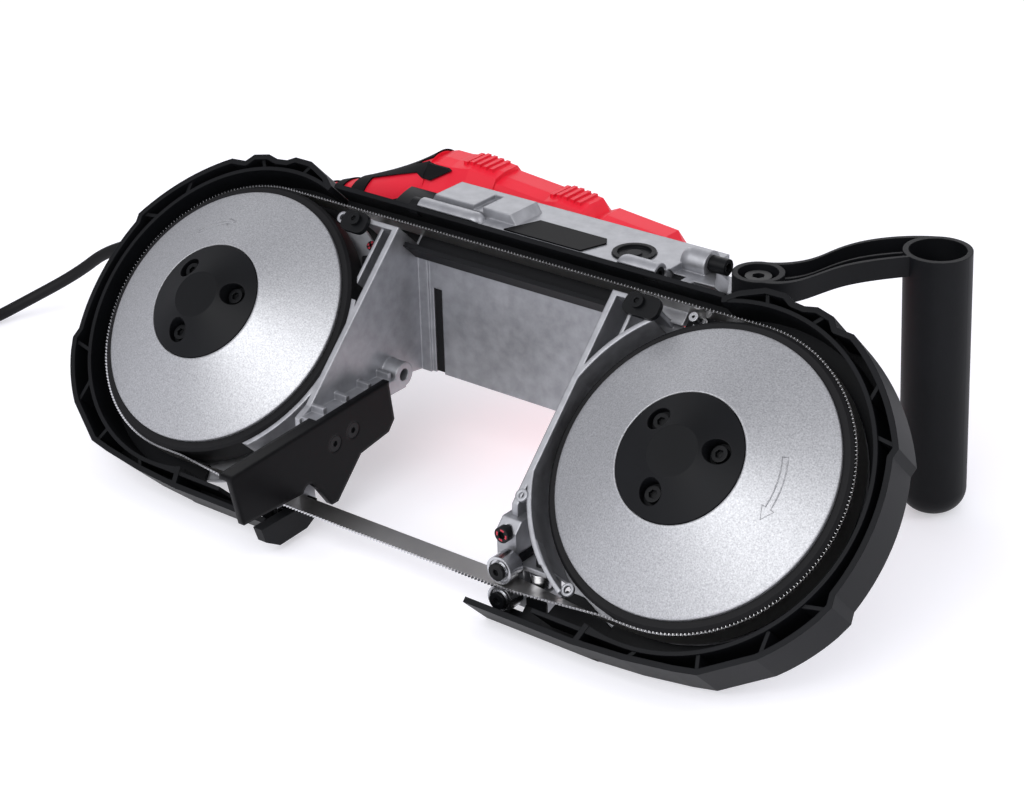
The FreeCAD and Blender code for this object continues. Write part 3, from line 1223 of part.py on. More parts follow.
def gearbox_housing():
    cap_face = GEARBOX_END + GEARBOX_CAP_T
    tunnel_y = WORM_LINE.y
    tunnel_z = WORM_LINE.z
    solid = fuse([
        lean(disc_n(-WHEEL_U, 0, GEARBOX_R, cap_face, WEB_BACK)),
        rod_x(tunnel_y, tunnel_z, TUNNEL_R, TUNNEL_END, SPUR_X),
        spur_box(SPUR_BOX_WALL),
        motor_bell(),
    ])
    room = fuse([
        lean(disc_n(-WHEEL_U, 0, GEARBOX_R - GEARBOX_WALL, cap_face - 1, WEB_BACK + 1)),
        rod_x(tunnel_y, tunnel_z, TUNNEL_R - TUNNEL_WALL, TUNNEL_END + TUNNEL_WALL, SPUR_X),
        spur_box(0.0),
    ])
    web_room = lean(box((-400, -200, WEB_BACK), (200, 200, 100)))
    housing = solid.cut(room).cut(web_room)
    seat = BEARING_R + 6.0 + PART_GAP
    housing = housing.cut(lean(disc_n(-WHEEL_U, 0, seat, WEB_BACK - 6.0 - PART_GAP, WEB_BACK + 1)))
    left_end = TUNNEL_END + TUNNEL_WALL + 8.0
    left = ring_x(tunnel_y, tunnel_z, TUNNEL_R - 2.0, WORM_SHAFT_R + RUN_GAP, TUNNEL_END, left_end)
    journal = rod_x(tunnel_y, tunnel_z, WORM_SHAFT_R + RUN_GAP, SPUR_X, worm_shaft_end() + 0.4)
    motor_hole = rod_x(MOTOR_Y, MOTOR_Z, MOTOR_SHAFT_R + 1.0, SPUR_X, MOTOR_LEFT + 1)
    return fuse([housing, left]).cut(journal).cut(motor_hole)


def gearbox_cap():
    cap = disc_n(-WHEEL_U, 0, GEARBOX_R, GEARBOX_END, GEARBOX_END + GEARBOX_CAP_T)
    seat_in = GEARBOX_END + GEARBOX_CAP_T
    seat = ring_n(-WHEEL_U, 0, BEARING_R + 3.0, BEARING_R + SEAT_GAP, seat_in, seat_in + BEARING_W)
    tunnel = rod_x(WORM_LINE.y, WORM_LINE.z, TUNNEL_R + PART_GAP, TUNNEL_END - 1, SPUR_X)
    return fuse([cap, seat]).cut(lean_back(fuse([tunnel, spur_box(SPUR_BOX_WALL + PART_GAP)])))


def shaft_bearings():
    inner = GEARBOX_END + GEARBOX_CAP_T
    rings = bearings(-WHEEL_U, ((WEB_FRONT - BEARING_W, WEB_FRONT), (inner + 0.2, inner + BEARING_W)))
    placed = [lean(ring) for ring in rings]
    left = MOTOR_LEFT + MOTOR_WALL
    for x0 in (left, MOTOR_RIGHT - MOTOR_BEARING_W):
        x1 = x0 + MOTOR_BEARING_W
        placed.append(ring_x(MOTOR_Y, MOTOR_Z, MOTOR_BEARING_R, MOTOR_SHAFT_R + RUN_GAP, x0, x1))
    return Part.Compound(placed)


# Motor and housing
def saddle(inset):
    foot = MOTOR_Z + SADDLE_FOOT
    last = len(SADDLE_TOP) - 1
    wires = []
    for k, (y, drop) in enumerate(SADDLE_ROWS):
        place = y + inset * (k < 2) - inset * (k > 2)
        row = [V(SADDLE_TOP[0][0] + inset, place, foot)]
        for i, (x, z) in enumerate(SADDLE_TOP):
            row.append(V(x + inset * (i == 0) - inset * (i > last - 2), place, z - drop - inset))
        row.append(V(SADDLE_TOP[-1][0] - inset, place, foot))
        wires.append(Part.makePolygon(row + [row[0]]))
    return Part.makeLoft(wires, True, True)


def saddle_top(x):
    for (x0, z0), (x1, z1) in zip(SADDLE_TOP, SADDLE_TOP[1:]):
        if x0 <= x <= x1:
            return z0 + (z1 - z0) * (x - x0) / (x1 - x0)


def louvres():
    ridges = []
    slots = []
    flat = SADDLE_ROWS[3][0]
    back, drop = SADDLE_ROWS[4]
    for start in VENT_STARTS:
        for k in range(VENT_COUNT):
            x = start - k * VENT_PITCH
            z = saddle_top(x - LOUVRE_W / 2.0)
            ridges.append(box((x - LOUVRE_W, SADDLE_ROWS[1][0] + 4.0, z - 2.0), (x, flat, z + LOUVRE_H)))
            slots.append(box((x - VENT_W, flat + 1.5, z - drop + 1.0), (x, back + 1.0, z + 1.0)))
    return ridges, slots


def motor_housing():
    ridges, slots = louvres()
    shell = fuse([rod_x(MOTOR_Y, MOTOR_Z, MOTOR_R, MOTOR_LEFT, MOTOR_RIGHT), saddle(0.0)] + ridges)
    room = rod_x(MOTOR_Y, MOTOR_Z, MOTOR_R - MOTOR_WALL, MOTOR_LEFT + MOTOR_WALL, MOTOR_RIGHT + 1)
    shell = shell.cut(fuse([room, saddle(MOTOR_WALL)]))
    shell = shell.cut(Part.Compound(slots))
    seat_end = MOTOR_LEFT + MOTOR_WALL + MOTOR_BEARING_W
    seat = ring_x(MOTOR_Y, MOTOR_Z, MOTOR_BEARING_R + 3.0, MOTOR_BEARING_R + SEAT_GAP, MOTOR_LEFT, seat_end)
    shell = fuse([shell, seat])
    wall_end = MOTOR_LEFT + MOTOR_WALL + 1
    return shell.cut(rod_x(MOTOR_Y, MOTOR_Z, MOTOR_SHAFT_R + 1.0, MOTOR_LEFT - 1, wall_end))


def motor_end_cap():
    x1 = MOTOR_RIGHT + END_CAP_T
    disc = rod_x(MOTOR_Y, MOTOR_Z, MOTOR_R, MOTOR_RIGHT, x1)
    rims = [edge for edge in disc.Edges if edge.Closed and edge.CenterOfMass.x > x1 - 0.1]
    disc = disc.makeFillet(END_CAP_T * 0.6, rims)
    spigot = rod_x(MOTOR_Y, MOTOR_Z, MOTOR_BEARING_R + 3.0, MOTOR_RIGHT - MOTOR_BEARING_W, MOTOR_RIGHT)
    bump = rod_x(MOTOR_Y + 8.0, MOTOR_Z + MOTOR_R - 1.0, 7.0, MOTOR_RIGHT, x1 + 3.0)
    cap = fuse([disc, spigot, bump])
    cap = cap.cut(rod_x(MOTOR_Y, MOTOR_Z, MOTOR_BEARING_R + SEAT_GAP, MOTOR_RIGHT - 9, MOTOR_RIGHT + 0.2))
    for k in range(12):
        a = math.radians(30.0 * k)
        y = MOTOR_Y + 25.0 * math.cos(a)
        z = MOTOR_Z + 25.0 * math.sin(a)
        cap = cap.cut(rod_x(y, z, 3.0, MOTOR_RIGHT - 1, x1 + 1))
    return cap


def motor_stator():
    return ring_x(MOTOR_Y, MOTOR_Z, STATOR_R, STATOR_BORE, STATOR_LEFT, STATOR_LEFT + STATOR_L)


def motor_armature():
    core = rod_x(MOTOR_Y, MOTOR_Z, ARMATURE_R, STATOR_LEFT + 1, STATOR_LEFT + STATOR_L - 1)
    ends = rod_x(MOTOR_Y, MOTOR_Z, ARMATURE_R - 5.0, STATOR_LEFT - 9, STATOR_LEFT + STATOR_L + 9)
    commutator = rod_x(MOTOR_Y, MOTOR_Z, 12.0, STATOR_LEFT + STATOR_L + 9, STATOR_LEFT + STATOR_L + 27)
    shaft = rod_x(MOTOR_Y, MOTOR_Z, MOTOR_SHAFT_R, SPUR_X - 1.0, MOTOR_RIGHT - 0.5)
    return fuse([core, ends, commutator, shaft])


def cooling_fan():
    hub = rod_x(MOTOR_Y, MOTOR_Z, 12.0, FAN_X, FAN_X + FAN_T)
    plate = rod_x(MOTOR_Y, MOTOR_Z, FAN_R, FAN_X, FAN_X + 2.0)
    pieces = [hub, plate]
    for k in range(FAN_BLADES):
        fin_top = (FAN_X + FAN_T, MOTOR_Y + 0.8, MOTOR_Z + FAN_R - 0.5)
        fin = box((FAN_X, MOTOR_Y - 0.8, MOTOR_Z + 10.0), fin_top)
        fin.rotate(V(0, MOTOR_Y, MOTOR_Z), V(1, 0, 0), 360.0 * k / FAN_BLADES)
        pieces.append(fin)
    return fuse(pieces).cut(rod_x(MOTOR_Y, MOTOR_Z, MOTOR_SHAFT_R + SEAT_GAP, FAN_X - 1, FAN_X + FAN_T + 1))


# Rear handle
def handle_at(x):
    for low, high in zip(HANDLE_SECTIONS, HANDLE_SECTIONS[1:]):
        if high[0] <= x <= low[0]:
            share = (x - low[0]) / (high[0] - low[0])
            return [a + (b - a) * share for a, b in zip(low, high)]
    return list(HANDLE_SECTIONS[-1])


def handle_loft(grow, x_grow):
    wires = []
    last = len(HANDLE_SECTIONS) - 1
    for k, (x, y, z, half_y, half_z) in enumerate(HANDLE_SECTIONS):
        place = x + x_grow * (k == 0) - x_grow * (k == last)
        tall = V(place, y, z + half_z + grow)
        wide = V(place, y + half_y + grow, z)
        wires.append(Part.Wire(Part.Ellipse(tall, wide, V(place, y, z)).toShape()))
    return Part.makeLoft(wires, True, False)


def trigger_low():
    x, y, z, half_y, half_z = handle_at(TRIGGER_X - TRIGGER_L / 2.0)
    return y, z - half_z


def trigger_pivot():
    y, low = trigger_low()
    return V(TRIGGER_X - TRIGGER_PIN_IN, y, low + TRIGGER_IN - TRIGGER_PIN_IN)


def trigger_pin():
    pivot = trigger_pivot()
    front = (pivot.x, pivot.y - TRIGGER_W / 2.0 - TRIGGER_GAP / 2.0, pivot.z)
    pin = rod(front, (pivot.x, pivot.y + TRIGGER_PIN_REACH, pivot.z), TRIGGER_PIN_R)
    return pin.common(handle_loft(0.0, 0.0))


def trigger():
    y, low = trigger_low()
    half = TRIGGER_W / 2.0
    x0 = TRIGGER_X - TRIGGER_L
    profile = [
        (TRIGGER_X, low + TRIGGER_IN), (x0, low + TRIGGER_IN - 3), (x0, low - TRIGGER_OUT),
        (x0 + 8, low - TRIGGER_OUT - 1), (x0 + 22, low - TRIGGER_OUT + 3), (TRIGGER_X, low + 1),
    ]
    pivot = trigger_pivot()
    bore = rod((pivot.x, y - half - 1, pivot.z), (pivot.x, y + half + 1, pivot.z), TRIGGER_PIN_R + RUN_GAP)
    return plate_y(profile, y - half, y + half).cut(bore)


def button_place():
    x, y, z, half_y, half_z = handle_at(BUTTON_X)
    return y - half_y, z


def lock_button():
    y, z = button_place()
    return rod((BUTTON_X, y - BUTTON_OUT, z), (BUTTON_X, y - BUTTON_OUT + BUTTON_L, z), BUTTON_R)


def dial_place():
    x, y, z, half_y, half_z = handle_at(DIAL_X)
    return V(DIAL_X, y, z + half_z + DIAL_OUT - DIAL_R)


def speed_dial():
    place = dial_place()
    half = DIAL_T / 2.0
    dial = rod((place.x, place.y - half, place.z), (place.x, place.y + half, place.z), DIAL_R)
    for k in range(24):
        a = math.radians(15.0 * k)
        notch = (place.x + (DIAL_R + 0.3) * math.cos(a), place.z + (DIAL_R + 0.3) * math.sin(a))
        dial = dial.cut(rod((notch[0], place.y - 9, notch[1]), (notch[0], place.y + 9, notch[1]), 0.9))
    return dial


def handle_shell():
    shell = handle_loft(0.0, 0.0).cut(handle_loft(-HANDLE_WALL, -HANDLE_WALL))
    y, low = trigger_low()
    half = TRIGGER_W / 2.0 + TRIGGER_GAP
    slot = box((TRIGGER_X - TRIGGER_L - 1.6, y - half, low - 20), (TRIGGER_X + 1.6, y + half, low + 12))
    by, bz = button_place()
    hole = rod((BUTTON_X, by - 9, bz), (BUTTON_X, by + 9, bz), BUTTON_R + 0.3)
    place = dial_place()
    room = DIAL_T / 2.0 + 0.5
    reach = DIAL_R + 1
    slot_low = (DIAL_X - reach, place.y - room, place.z - 4)
    dial_slot = box(slot_low, (DIAL_X + reach, place.y + room, place.z + 20))
    return shell.cut(slot).cut(hole).cut(dial_slot).cut(spur_box(SPUR_BOX_WALL + 0.6))


def handle_split():
    first = HANDLE_SECTIONS[0]
    last = HANDLE_SECTIONS[-1]
    corners = [(first[0] + 30, first[1] + 4.8), (last[0] - 60, last[1] - 12.6)]
    corners += [(last[0] - 60, last[1] + 100), (first[0] + 30, last[1] + 100)]
    return plate_z(corners, -120, 140)


def handle_pads():
    skin = handle_loft(PAD_GAP + PAD_T, 0.0).cut(handle_loft(PAD_GAP, 0.0))
    bands = [plate_y(PAD_BAND, 60, 190), plate_y(PAD_LOWER, 60, 190)]
    bands += [box((x0, 60, -80), (x1, 190, 80)) for x0, x1 in (PAD_GRIP, PAD_TAIL)]
    stripes = [box((x0, 60, PAD_STRIPE_LOW), (x1, 190, 80)) for x0, x1 in PAD_STRIPES]
    pads = skin.common(fuse(bands)).cut(Part.Compound(stripes))
    y, low = trigger_low()
    half = TRIGGER_W / 2.0 + 3.0
    pads = pads.cut(box((TRIGGER_X - TRIGGER_L - 4, y - half, low - 20), (TRIGGER_X + 4, y + half, low + 15)))
    by, bz = button_place()
    pads = pads.cut(rod((BUTTON_X, by - 9, bz), (BUTTON_X, by + 9, bz), BUTTON_R + 2.0))
    pads = pads.cut(spur_box(SPUR_BOX_WALL + 1.0))
    hook = saddle(-PAD_GAP - PAD_T).cut(saddle(-PAD_GAP)).common(plate_y(PAD_HOOK, *PAD_HOOK_Y))
    lozenge = plate_z(PAD_LOZENGE, 0, 90)
    return Part.Compound(pads.cut(lozenge).Solids + hook.cut(lozenge).Solids)


# Power cord
def relief_way():
    low = V(*HANDLE_SECTIONS[-2][:3])
    high = V(*HANDLE_SECTIONS[-1][:3])
    return (high - low).normalize()


def relief_tip():
    return V(*HANDLE_SECTIONS[-1][:3]) + relief_way() * RELIEF_L


def cord_points():
    tip = relief_tip()
    points = [tip, tip + relief_way() * CORD_FIRST_RUN]
    points += [tip + V(dx, dy, -dz) for dx, dy, dz in CORD_DROP]
    lifts = (0.0, 0.0, COIL_LIFT, COIL_LIFT)
    for (dx, dy), lift in zip(CORD_ON_FLOOR, lifts):
        points.append(V(tip.x + dx, tip.y + dy, CORD_Z + lift))
    return points


def cord_edges(points):
    edges = []
    radii = []
    here = points[0]
    for a, b, c in zip(points, points[1:], points[2:]):
        into = (b - a).normalize()
        away = (c - b).normalize()
        turn = into.getAngle(away)
        cut = 0.45 * min((b - a).Length, (c - b).Length)
        radii.append(cut / math.tan(turn / 2.0))
        start = b - into * cut
        end = b + away * cut
        centre_way = (away - into).normalize()
        middle = b + centre_way * (radii[-1] / math.cos(turn / 2.0) - radii[-1])
        edges.append(Part.LineSegment(here, start).toShape())
        edges.append(Part.Arc(start, middle, end).toShape())
        here = end
    edges.append(Part.LineSegment(here, points[-1]).toShape())
    return edges, radii


def tube(edges, r):
    wire = Part.Wire(edges)
    start = edges[0].valueAt(edges[0].FirstParameter)
    along = edges[0].tangentAt(edges[0].FirstParameter)
    circle = Part.Wire(Part.makeCircle(r, start, along))
    return wire.makePipeShell([circle], True, False)


def biarc(p0, t0, p1, t1):
    across = p1 - p0
    both = t0 + t1
    a = 2.0 * (1.0 - t0.dot(t1))
    b = 2.0 * across.dot(both)
    c = -across.dot(across)
    d = -c / b if abs(a) < 1e-9 else (-b + math.sqrt(b * b - 4.0 * a * c)) / (2.0 * a)
    joint = (p0 + p1 + (t0 - t1) * d) * 0.5
    edges = []
    for start, way, end, flip in ((p0, t0, joint, 1.0), (p1, t1 * -1.0, joint, -1.0)):
        chord = end - start
        half = chord * 0.5
        normal = way.cross(chord).cross(way).normalize()
        r = chord.dot(chord) / (2.0 * chord.dot(normal))
        centre = start + normal * r
        middle = centre + (start + half - centre).normalize() * r
        ends = (start, middle, end) if flip > 0 else (end, middle, start)
        edges.append(Part.Arc(*ends).toShape())
    return edges


def coil_stations():
    quarters = 4 * COIL_TURNS
    outer = COIL_INNER_R + COIL_PITCH * COIL_TURNS
    low = CORD_Z + COIL_LIFT
    high = low + COIL_PITCH
    climb = COIL_INNER_R - COIL_CLIMB_IN
    stations = [(k, outer - COIL_PITCH * k / 4.0, low) for k in range(quarters)]
    stations += [(quarters, climb, low), (quarters + 2, climb, high)]
    for k in range(1, quarters + 1):
        stations.append((quarters + 2 + k, COIL_INNER_R + COIL_PITCH * k / 4.0, high))
    return stations


def coil_spot(centre, first, k, r, z):
    a = first - math.pi / 2.0 * k
    return V(centre.x + r * math.cos(a), centre.y + r * math.sin(a), z)


def coil_way(first, k):
    a = first - math.pi / 2.0 * k
    return V(math.sin(a), -math.cos(a), 0)


def coil_centre(entry, way):
    outer = COIL_INNER_R + COIL_PITCH * COIL_TURNS
    return entry + way * CORD_D + V(way.y, -way.x, 0) * outer


def coil_edges(entry, way):
    centre = coil_centre(entry, way)
    first = math.atan2(way.x, -way.y)
    stations = coil_stations()
    spots = [coil_spot(centre, first, k, r, z) for k, r, z in stations]
    ways = [coil_way(first, k) for k, r, z in stations]
    edges = [Part.LineSegment(entry, spots[0]).toShape()]
    for k in range(len(spots) - 1):
        edges += biarc(spots[k], ways[k], spots[k + 1], ways[k + 1])
    edges.append(Part.LineSegment(spots[-1], spots[-1] + ways[-1] * COIL_TAIL).toShape())
    return edges


def self_gap(edges, d):
    wire = Part.Wire(edges)
    spots = wire.discretize(Distance=2.0)
    reach = int(math.pi * COIL_INNER_R / 2.0)
    least = 1e9
    for i in range(0, len(spots)):
        for j in range(i + reach // 2, len(spots)):
            least = min(least, (spots[i] - spots[j]).Length)
    return least - d


def strain_relief():
    cone = Part.makeCone(RELIEF_R, CORD_D / 2.0 + 1.2, RELIEF_L)
    for k in range(6):
        place = 7.0 + k * 5.6
        cone = cone.cut(ring_n(0, 0, RELIEF_R + 2.0, CORD_D / 2.0 + 1.0, place, place + 1.8))
    cone = aimed(cone, HANDLE_SECTIONS[-1][:3], relief_way())
    return cone.cut(handle_loft(0.0, 0.0))


def cord_tie(entry, way):
    inner = COIL_INNER_R + COIL_PITCH / 4.0 - CORD_D / 2.0 - TIE_GAP
    outer = inner + COIL_PITCH * (COIL_TURNS - 1) + CORD_D + 2.0 * TIE_GAP
    top = FLOOR_Z + COIL_LIFT + CORD_D + COIL_PITCH + TIE_GAP
    half = TIE_W / 2.0
    loop = box((inner - TIE_T, -half, FLOOR_Z), (outer + TIE_T, half, top + TIE_T))
    loop = loop.cut(box((inner, -half - 1, FLOOR_Z + TIE_T), (outer, half + 1, top)))
    first = math.atan2(way.x, -way.y)
    loop.rotate(V(0, 0, 0), V(0, 0, 1), math.degrees(first) + 90.0)
    centre = coil_centre(entry, way)
    loop.translate(V(centre.x, centre.y, 0))
    return loop


def plug(start, along):
    length = PLUG_BODY_L
    half_h = start.z - FLOOR_Z
    body = Part.makeCone(CORD_D / 2.0 + 1.5, half_h, length * 0.55, V(0, 0, 0), V(1, 0, 0))
    half_w = PLUG_BODY_W / 2.0
    head = box((length * 0.55, -half_w, -half_h), (length, half_w, half_h))
    edges = [edge for edge in head.Edges if abs(edge.tangentAt(edge.FirstParameter).x) > 0.9]
    head = head.makeFillet(6.0, edges)
    shape = fuse([body, head])
    pins = []
    for side in (1, -1):
        y = side * PLUG_PIN_SPACING / 2.0
        pin = rod_x(y, 0, PLUG_PIN_R, length, length + PLUG_PIN_L)
        tip = [edge for edge in pin.Edges if edge.Closed and edge.CenterOfMass.x > length + PLUG_PIN_L - 0.1]
        pins.append(pin.makeFillet(1.2, tip))
    angle = math.degrees(math.atan2(along.y, along.x))
    placed = []
    for piece in (shape, Part.Compound(pins)):
        piece.rotate(V(0, 0, 0), V(0, 0, 1), angle)
        piece.translate(start)
        placed.append(piece)
    return placed


def build():
    parts = {}
    for name, u, bore in (("drive", -WHEEL_U, SHAFT_R + SEAT_GAP), ("idler", WHEEL_U, BEARING_R + SEAT_GAP)):
        parts[name + "_wheel"] = lean(wheel_casting(u, bore))
        parts[name + "_tyre"] = lean(tyre(u))
        parts[name + "_cover"] = lean(wheel_cover(u))
        parts[name + "_hub_cap"] = lean(hub_cap(u))
        parts[name + "_cap_screws"] = lean(cap_screws(u))
    parts["drive_shaft"] = lean(drive_shaft())
    parts["worm_wheel"] = lean(worm_wheel())
    parts["worm_shaft"] = worm_shaft()
    parts["spur_gear"] = spur_gear()
    parts["motor_pinion"] = motor_pinion()
    parts["motor_armature"] = motor_armature()
    parts["cooling_fan"] = cooling_fan()
    top = CAP_SEAT - COVER_T
    spans = ((HUB_BACK, HUB_BACK + BEARING_W), (top - 2.0 - BEARING_W, top - 2.0))
    parts["idler_bearings"] = lean(Part.Compound(bearings(WHEEL_U, spans)))
    parts["tension_carriage"] = lean(tension_carriage())
    parts["idler_axle"] = lean(idler_axle())
    parts["tension_lever"] = lean(tension_lever())
    for place, side in (("rear", -1), ("front", 1)):
        parts[place + "_upper_roller"] = guide_roller(side, 1)
        parts[place + "_lower_roller"] = guide_roller(side, -1)
        parts[place + "_backup_roller"] = backup_roller(side)
    parts["front_guide_bracket"] = guide_bracket()
    parts["rear_guide_bracket"] = mirrored(guide_bracket())
    parts["guide_pins"] = guide_pins()
    parts["blade"] = lean(blade())
    front = lean(guard())
    parts["front_guard"] = front
    parts["rear_guard"] = fuse([mirrored(front), rear_guard_end()])
    parts["upper_channel"] = lean(upper_channel())
    parts["main_frame"] = main_frame()
    parts["case_cover"] = case_cover()
    parts["label_plate"] = label_plate()
    parts["cover_plug"] = cover_plug()
    parts["blade_tabs"] = blade_tabs()
    parts["frame_screws"] = frame_screws()
    parts["work_stop"] = work_stop()
    parts["front_handle"] = front_handle()
    parts["gearbox_housing"] = gearbox_housing()
    parts["gearbox_cap"] = lean(gearbox_cap())
    parts["shaft_bearings"] = shaft_bearings()
    parts["motor_housing"] = motor_housing()
    parts["motor_end_cap"] = motor_end_cap()
    parts["motor_stator"] = motor_stator()
    shell = handle_shell()
    split = handle_split()
    parts["handle_back_half"] = fuse([shell.common(split), trigger_pin()])
    parts["handle_front_half"] = shell.cut(split)
    parts["handle_pads"] = handle_pads()
    parts["trigger"] = trigger()
    parts["lock_button"] = lock_button()
    parts["speed_dial"] = speed_dial()
    return parts


def build_cord():
    parts = {"strain_relief": strain_relief()}
    points = cord_points()
    lead, radii = cord_edges(points)
    entry = points[-1]
    way = (points[-1] - points[-2]).normalize()
    edges = coil_edges(entry, way)
    print("cord radii", [round(r, 1) for r in radii])
    print("coil self gap", round(self_gap(edges, CORD_D), 2))
    print("cord length", round(sum(e.Length for e in lead) + sum(e.Length for e in edges), 1))
    parts["power_cord"] = tube(lead, CORD_D / 2.0)
    parts["cord_coil"] = tube(edges, CORD_D / 2.0)
    parts["cord_tie"] = cord_tie(entry, way)
    end = edges[-1].valueAt(edges[-1].LastParameter)
    parts["plug_body"], parts["plug_pins"] = plug(end, edges[-1].tangentAt(edges[-1].LastParameter))
    return parts


# The origin is the middle of the saw's footprint, on the surface that it stands on.
def origin_shift(parts):
    whole = Part.Compound(list(parts.values())).optimalBoundingBox(True, False)
    return V(-(whole.XMin + whole.XMax) / 2.0, -(whole.YMin + whole.YMax) / 2.0, -FLOOR_Z)


saw = build()
shift = origin_shift(saw)
cord = build_cord()
os.makedirs("parts", exist_ok=True)
for node, shape in list(saw.items()) + list(cord.items()):
    shape.translate(shift)
    shape.exportStep("parts/" + node + ".step")
print("origin shift", [round(a, 3) for a in shift], "nodes", len(saw) + len(cord))
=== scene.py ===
# %% [markdown]
# A portable band saw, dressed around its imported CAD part.
# The CAD part gives every rigid shape. Blender adds the camera, the smooth cord, the blade's teeth,
# small fittings and the materials. Blender works in metres; sizes here are in millimetres times MM.

# %% Imports and the frame
import json
import math

import bpy
from mathutils import Matrix, Vector


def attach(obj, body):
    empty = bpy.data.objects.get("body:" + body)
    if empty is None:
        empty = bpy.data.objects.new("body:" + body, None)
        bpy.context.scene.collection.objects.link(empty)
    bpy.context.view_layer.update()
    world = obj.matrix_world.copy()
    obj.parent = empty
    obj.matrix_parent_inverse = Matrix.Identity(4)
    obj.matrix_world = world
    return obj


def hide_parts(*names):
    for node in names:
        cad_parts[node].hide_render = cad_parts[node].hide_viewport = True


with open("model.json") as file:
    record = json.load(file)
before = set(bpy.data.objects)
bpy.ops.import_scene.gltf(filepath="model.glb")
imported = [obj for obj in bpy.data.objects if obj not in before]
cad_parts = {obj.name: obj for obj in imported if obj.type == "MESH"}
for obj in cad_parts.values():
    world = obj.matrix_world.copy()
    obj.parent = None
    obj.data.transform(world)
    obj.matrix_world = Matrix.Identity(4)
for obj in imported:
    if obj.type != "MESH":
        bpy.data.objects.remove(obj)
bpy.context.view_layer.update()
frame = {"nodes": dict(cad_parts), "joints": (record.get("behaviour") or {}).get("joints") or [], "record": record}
nodes = frame["nodes"]
joints = {j["name"]: j for j in frame["joints"]}
MM = 0.001


def show(obj):
    bpy.context.scene.collection.objects.link(obj)
    return obj


# %% [markdown]
# The wheel frame: u along the saw, v up in the wheel plane, n out of the wheel's face.
# The two wheel joints sit on the rims' plane, so they give the origin and the lean.
# Body points have the same origin, with the part's own X, Y and Z.

# %% Wheel frame
drive = Vector(joints["drive_wheel_spin"]["pos_m"])
idler = Vector(joints["idler_spin"]["pos_m"])
middle = (drive + idler) / 2
axis_u = (idler - drive).normalized()
axis_n = Vector(joints["idler_spin"]["axis"]).normalized()
axis_v = axis_n.cross(axis_u)
wheel_u = (idler - drive).length / 2 / MM


def wheel_point(u, v, n):
    return middle + axis_u * u * MM + axis_v * v * MM + axis_n * n * MM


def body_point(x, y, z):
    return middle + Vector((x, y, z)) * MM


# %% [markdown]
# The camera is the photograph's: a long lens, placed from the two wheel rims by resection.
# Its matrix has the right, up and backward directions as columns.

# %% Camera
LENS = 88.08
SENSOR_WIDTH = 36.0
CLIP_END = 50.0
CAMERA_PLACE = Vector((0.7626, -0.8810, 0.5653))
CAMERA_RIGHT = Vector((0.7829, 0.6218, -0.0235))
CAMERA_BACK = Vector((0.5664, -0.6965, 0.4406))

camera_data = bpy.data.cameras.new("camera")
camera_data.sensor_width = SENSOR_WIDTH
camera_data.lens = LENS
camera_data.clip_end = CLIP_END
camera = show(bpy.data.objects.new("camera", camera_data))
back = CAMERA_BACK.normalized()
up = back.cross(CAMERA_RIGHT).normalized()
right = up.cross(back)
aim = Matrix((right, up, back)).transposed().to_4x4()
camera.matrix_world = Matrix.Translation(middle + CAMERA_PLACE) @ aim
bpy.context.scene.camera = camera

# %% [markdown]
# The power cord is one NURBS curve. Its first points repeat the CAD route from the strain relief
# to the coil. The coil's turns follow as points on circles: in on the lower layer, up, out on the
# upper layer, and then straight to the plug. A NURBS curve cuts the corners of its points, so the
# circles are a little larger than the coil. The points carry the cord's radius, so that the
# curve's box is the tube's own.

# %% Power cord
CORD_D = 7.5 * MM
HANDLE_END = (-288.0, 106.0, -19.0)
RELIEF_WAY = Vector((-38.0, -8.0, -12.0)).normalized()
RELIEF_L = 42.0
STRAIGHT_L = 26.0
CORD_DROP = ((-50.7, -11.7, -29.6), (-75.2, -35.7, -46.6))
CORD_ON_FLOOR = ((-84.7, -57.7), (-89.7, -83.7))
CORD_ON_TIE = ((-92.7, -109.7), (-96.7, -135.7))
COIL_INNER = 33.0 * MM
COIL_PITCH = 8.2 * MM
COIL_TURNS = 3
COIL_LIFT = 1.8 * MM
COIL_TUCK = 2.0 * MM
COIL_TAIL = 45.0 * MM
PER_TURN = 16
CORNER_LOSS = 0.67

tip = body_point(*HANDLE_END) + RELIEF_WAY * RELIEF_L * MM
on_floor = CORD_D / 2
on_tie = on_floor + COIL_LIFT
route = [tip, tip + RELIEF_WAY * STRAIGHT_L * MM]
route += [tip + Vector(p) * MM for p in CORD_DROP]
for spots, level in ((CORD_ON_FLOOR, on_floor), (CORD_ON_TIE, on_tie)):
    route += [Vector((tip.x + dx * MM, tip.y + dy * MM, level)) for dx, dy in spots]
way = (route[-1] - route[-2]).normalized()
outer = COIL_INNER + COIL_PITCH * COIL_TURNS
coil_centre = route[-1] + way * CORD_D + Vector((way.y, -way.x, 0)) * outer
first_angle = math.atan2(way.x, -way.y)
swell = 1.0 / math.cos(math.pi / PER_TURN) ** CORNER_LOSS


def coil_point(turns, r, z):
    a = first_angle - 2 * math.pi * turns
    return Vector((coil_centre.x + r * swell * math.cos(a), coil_centre.y + r * swell * math.sin(a), z))


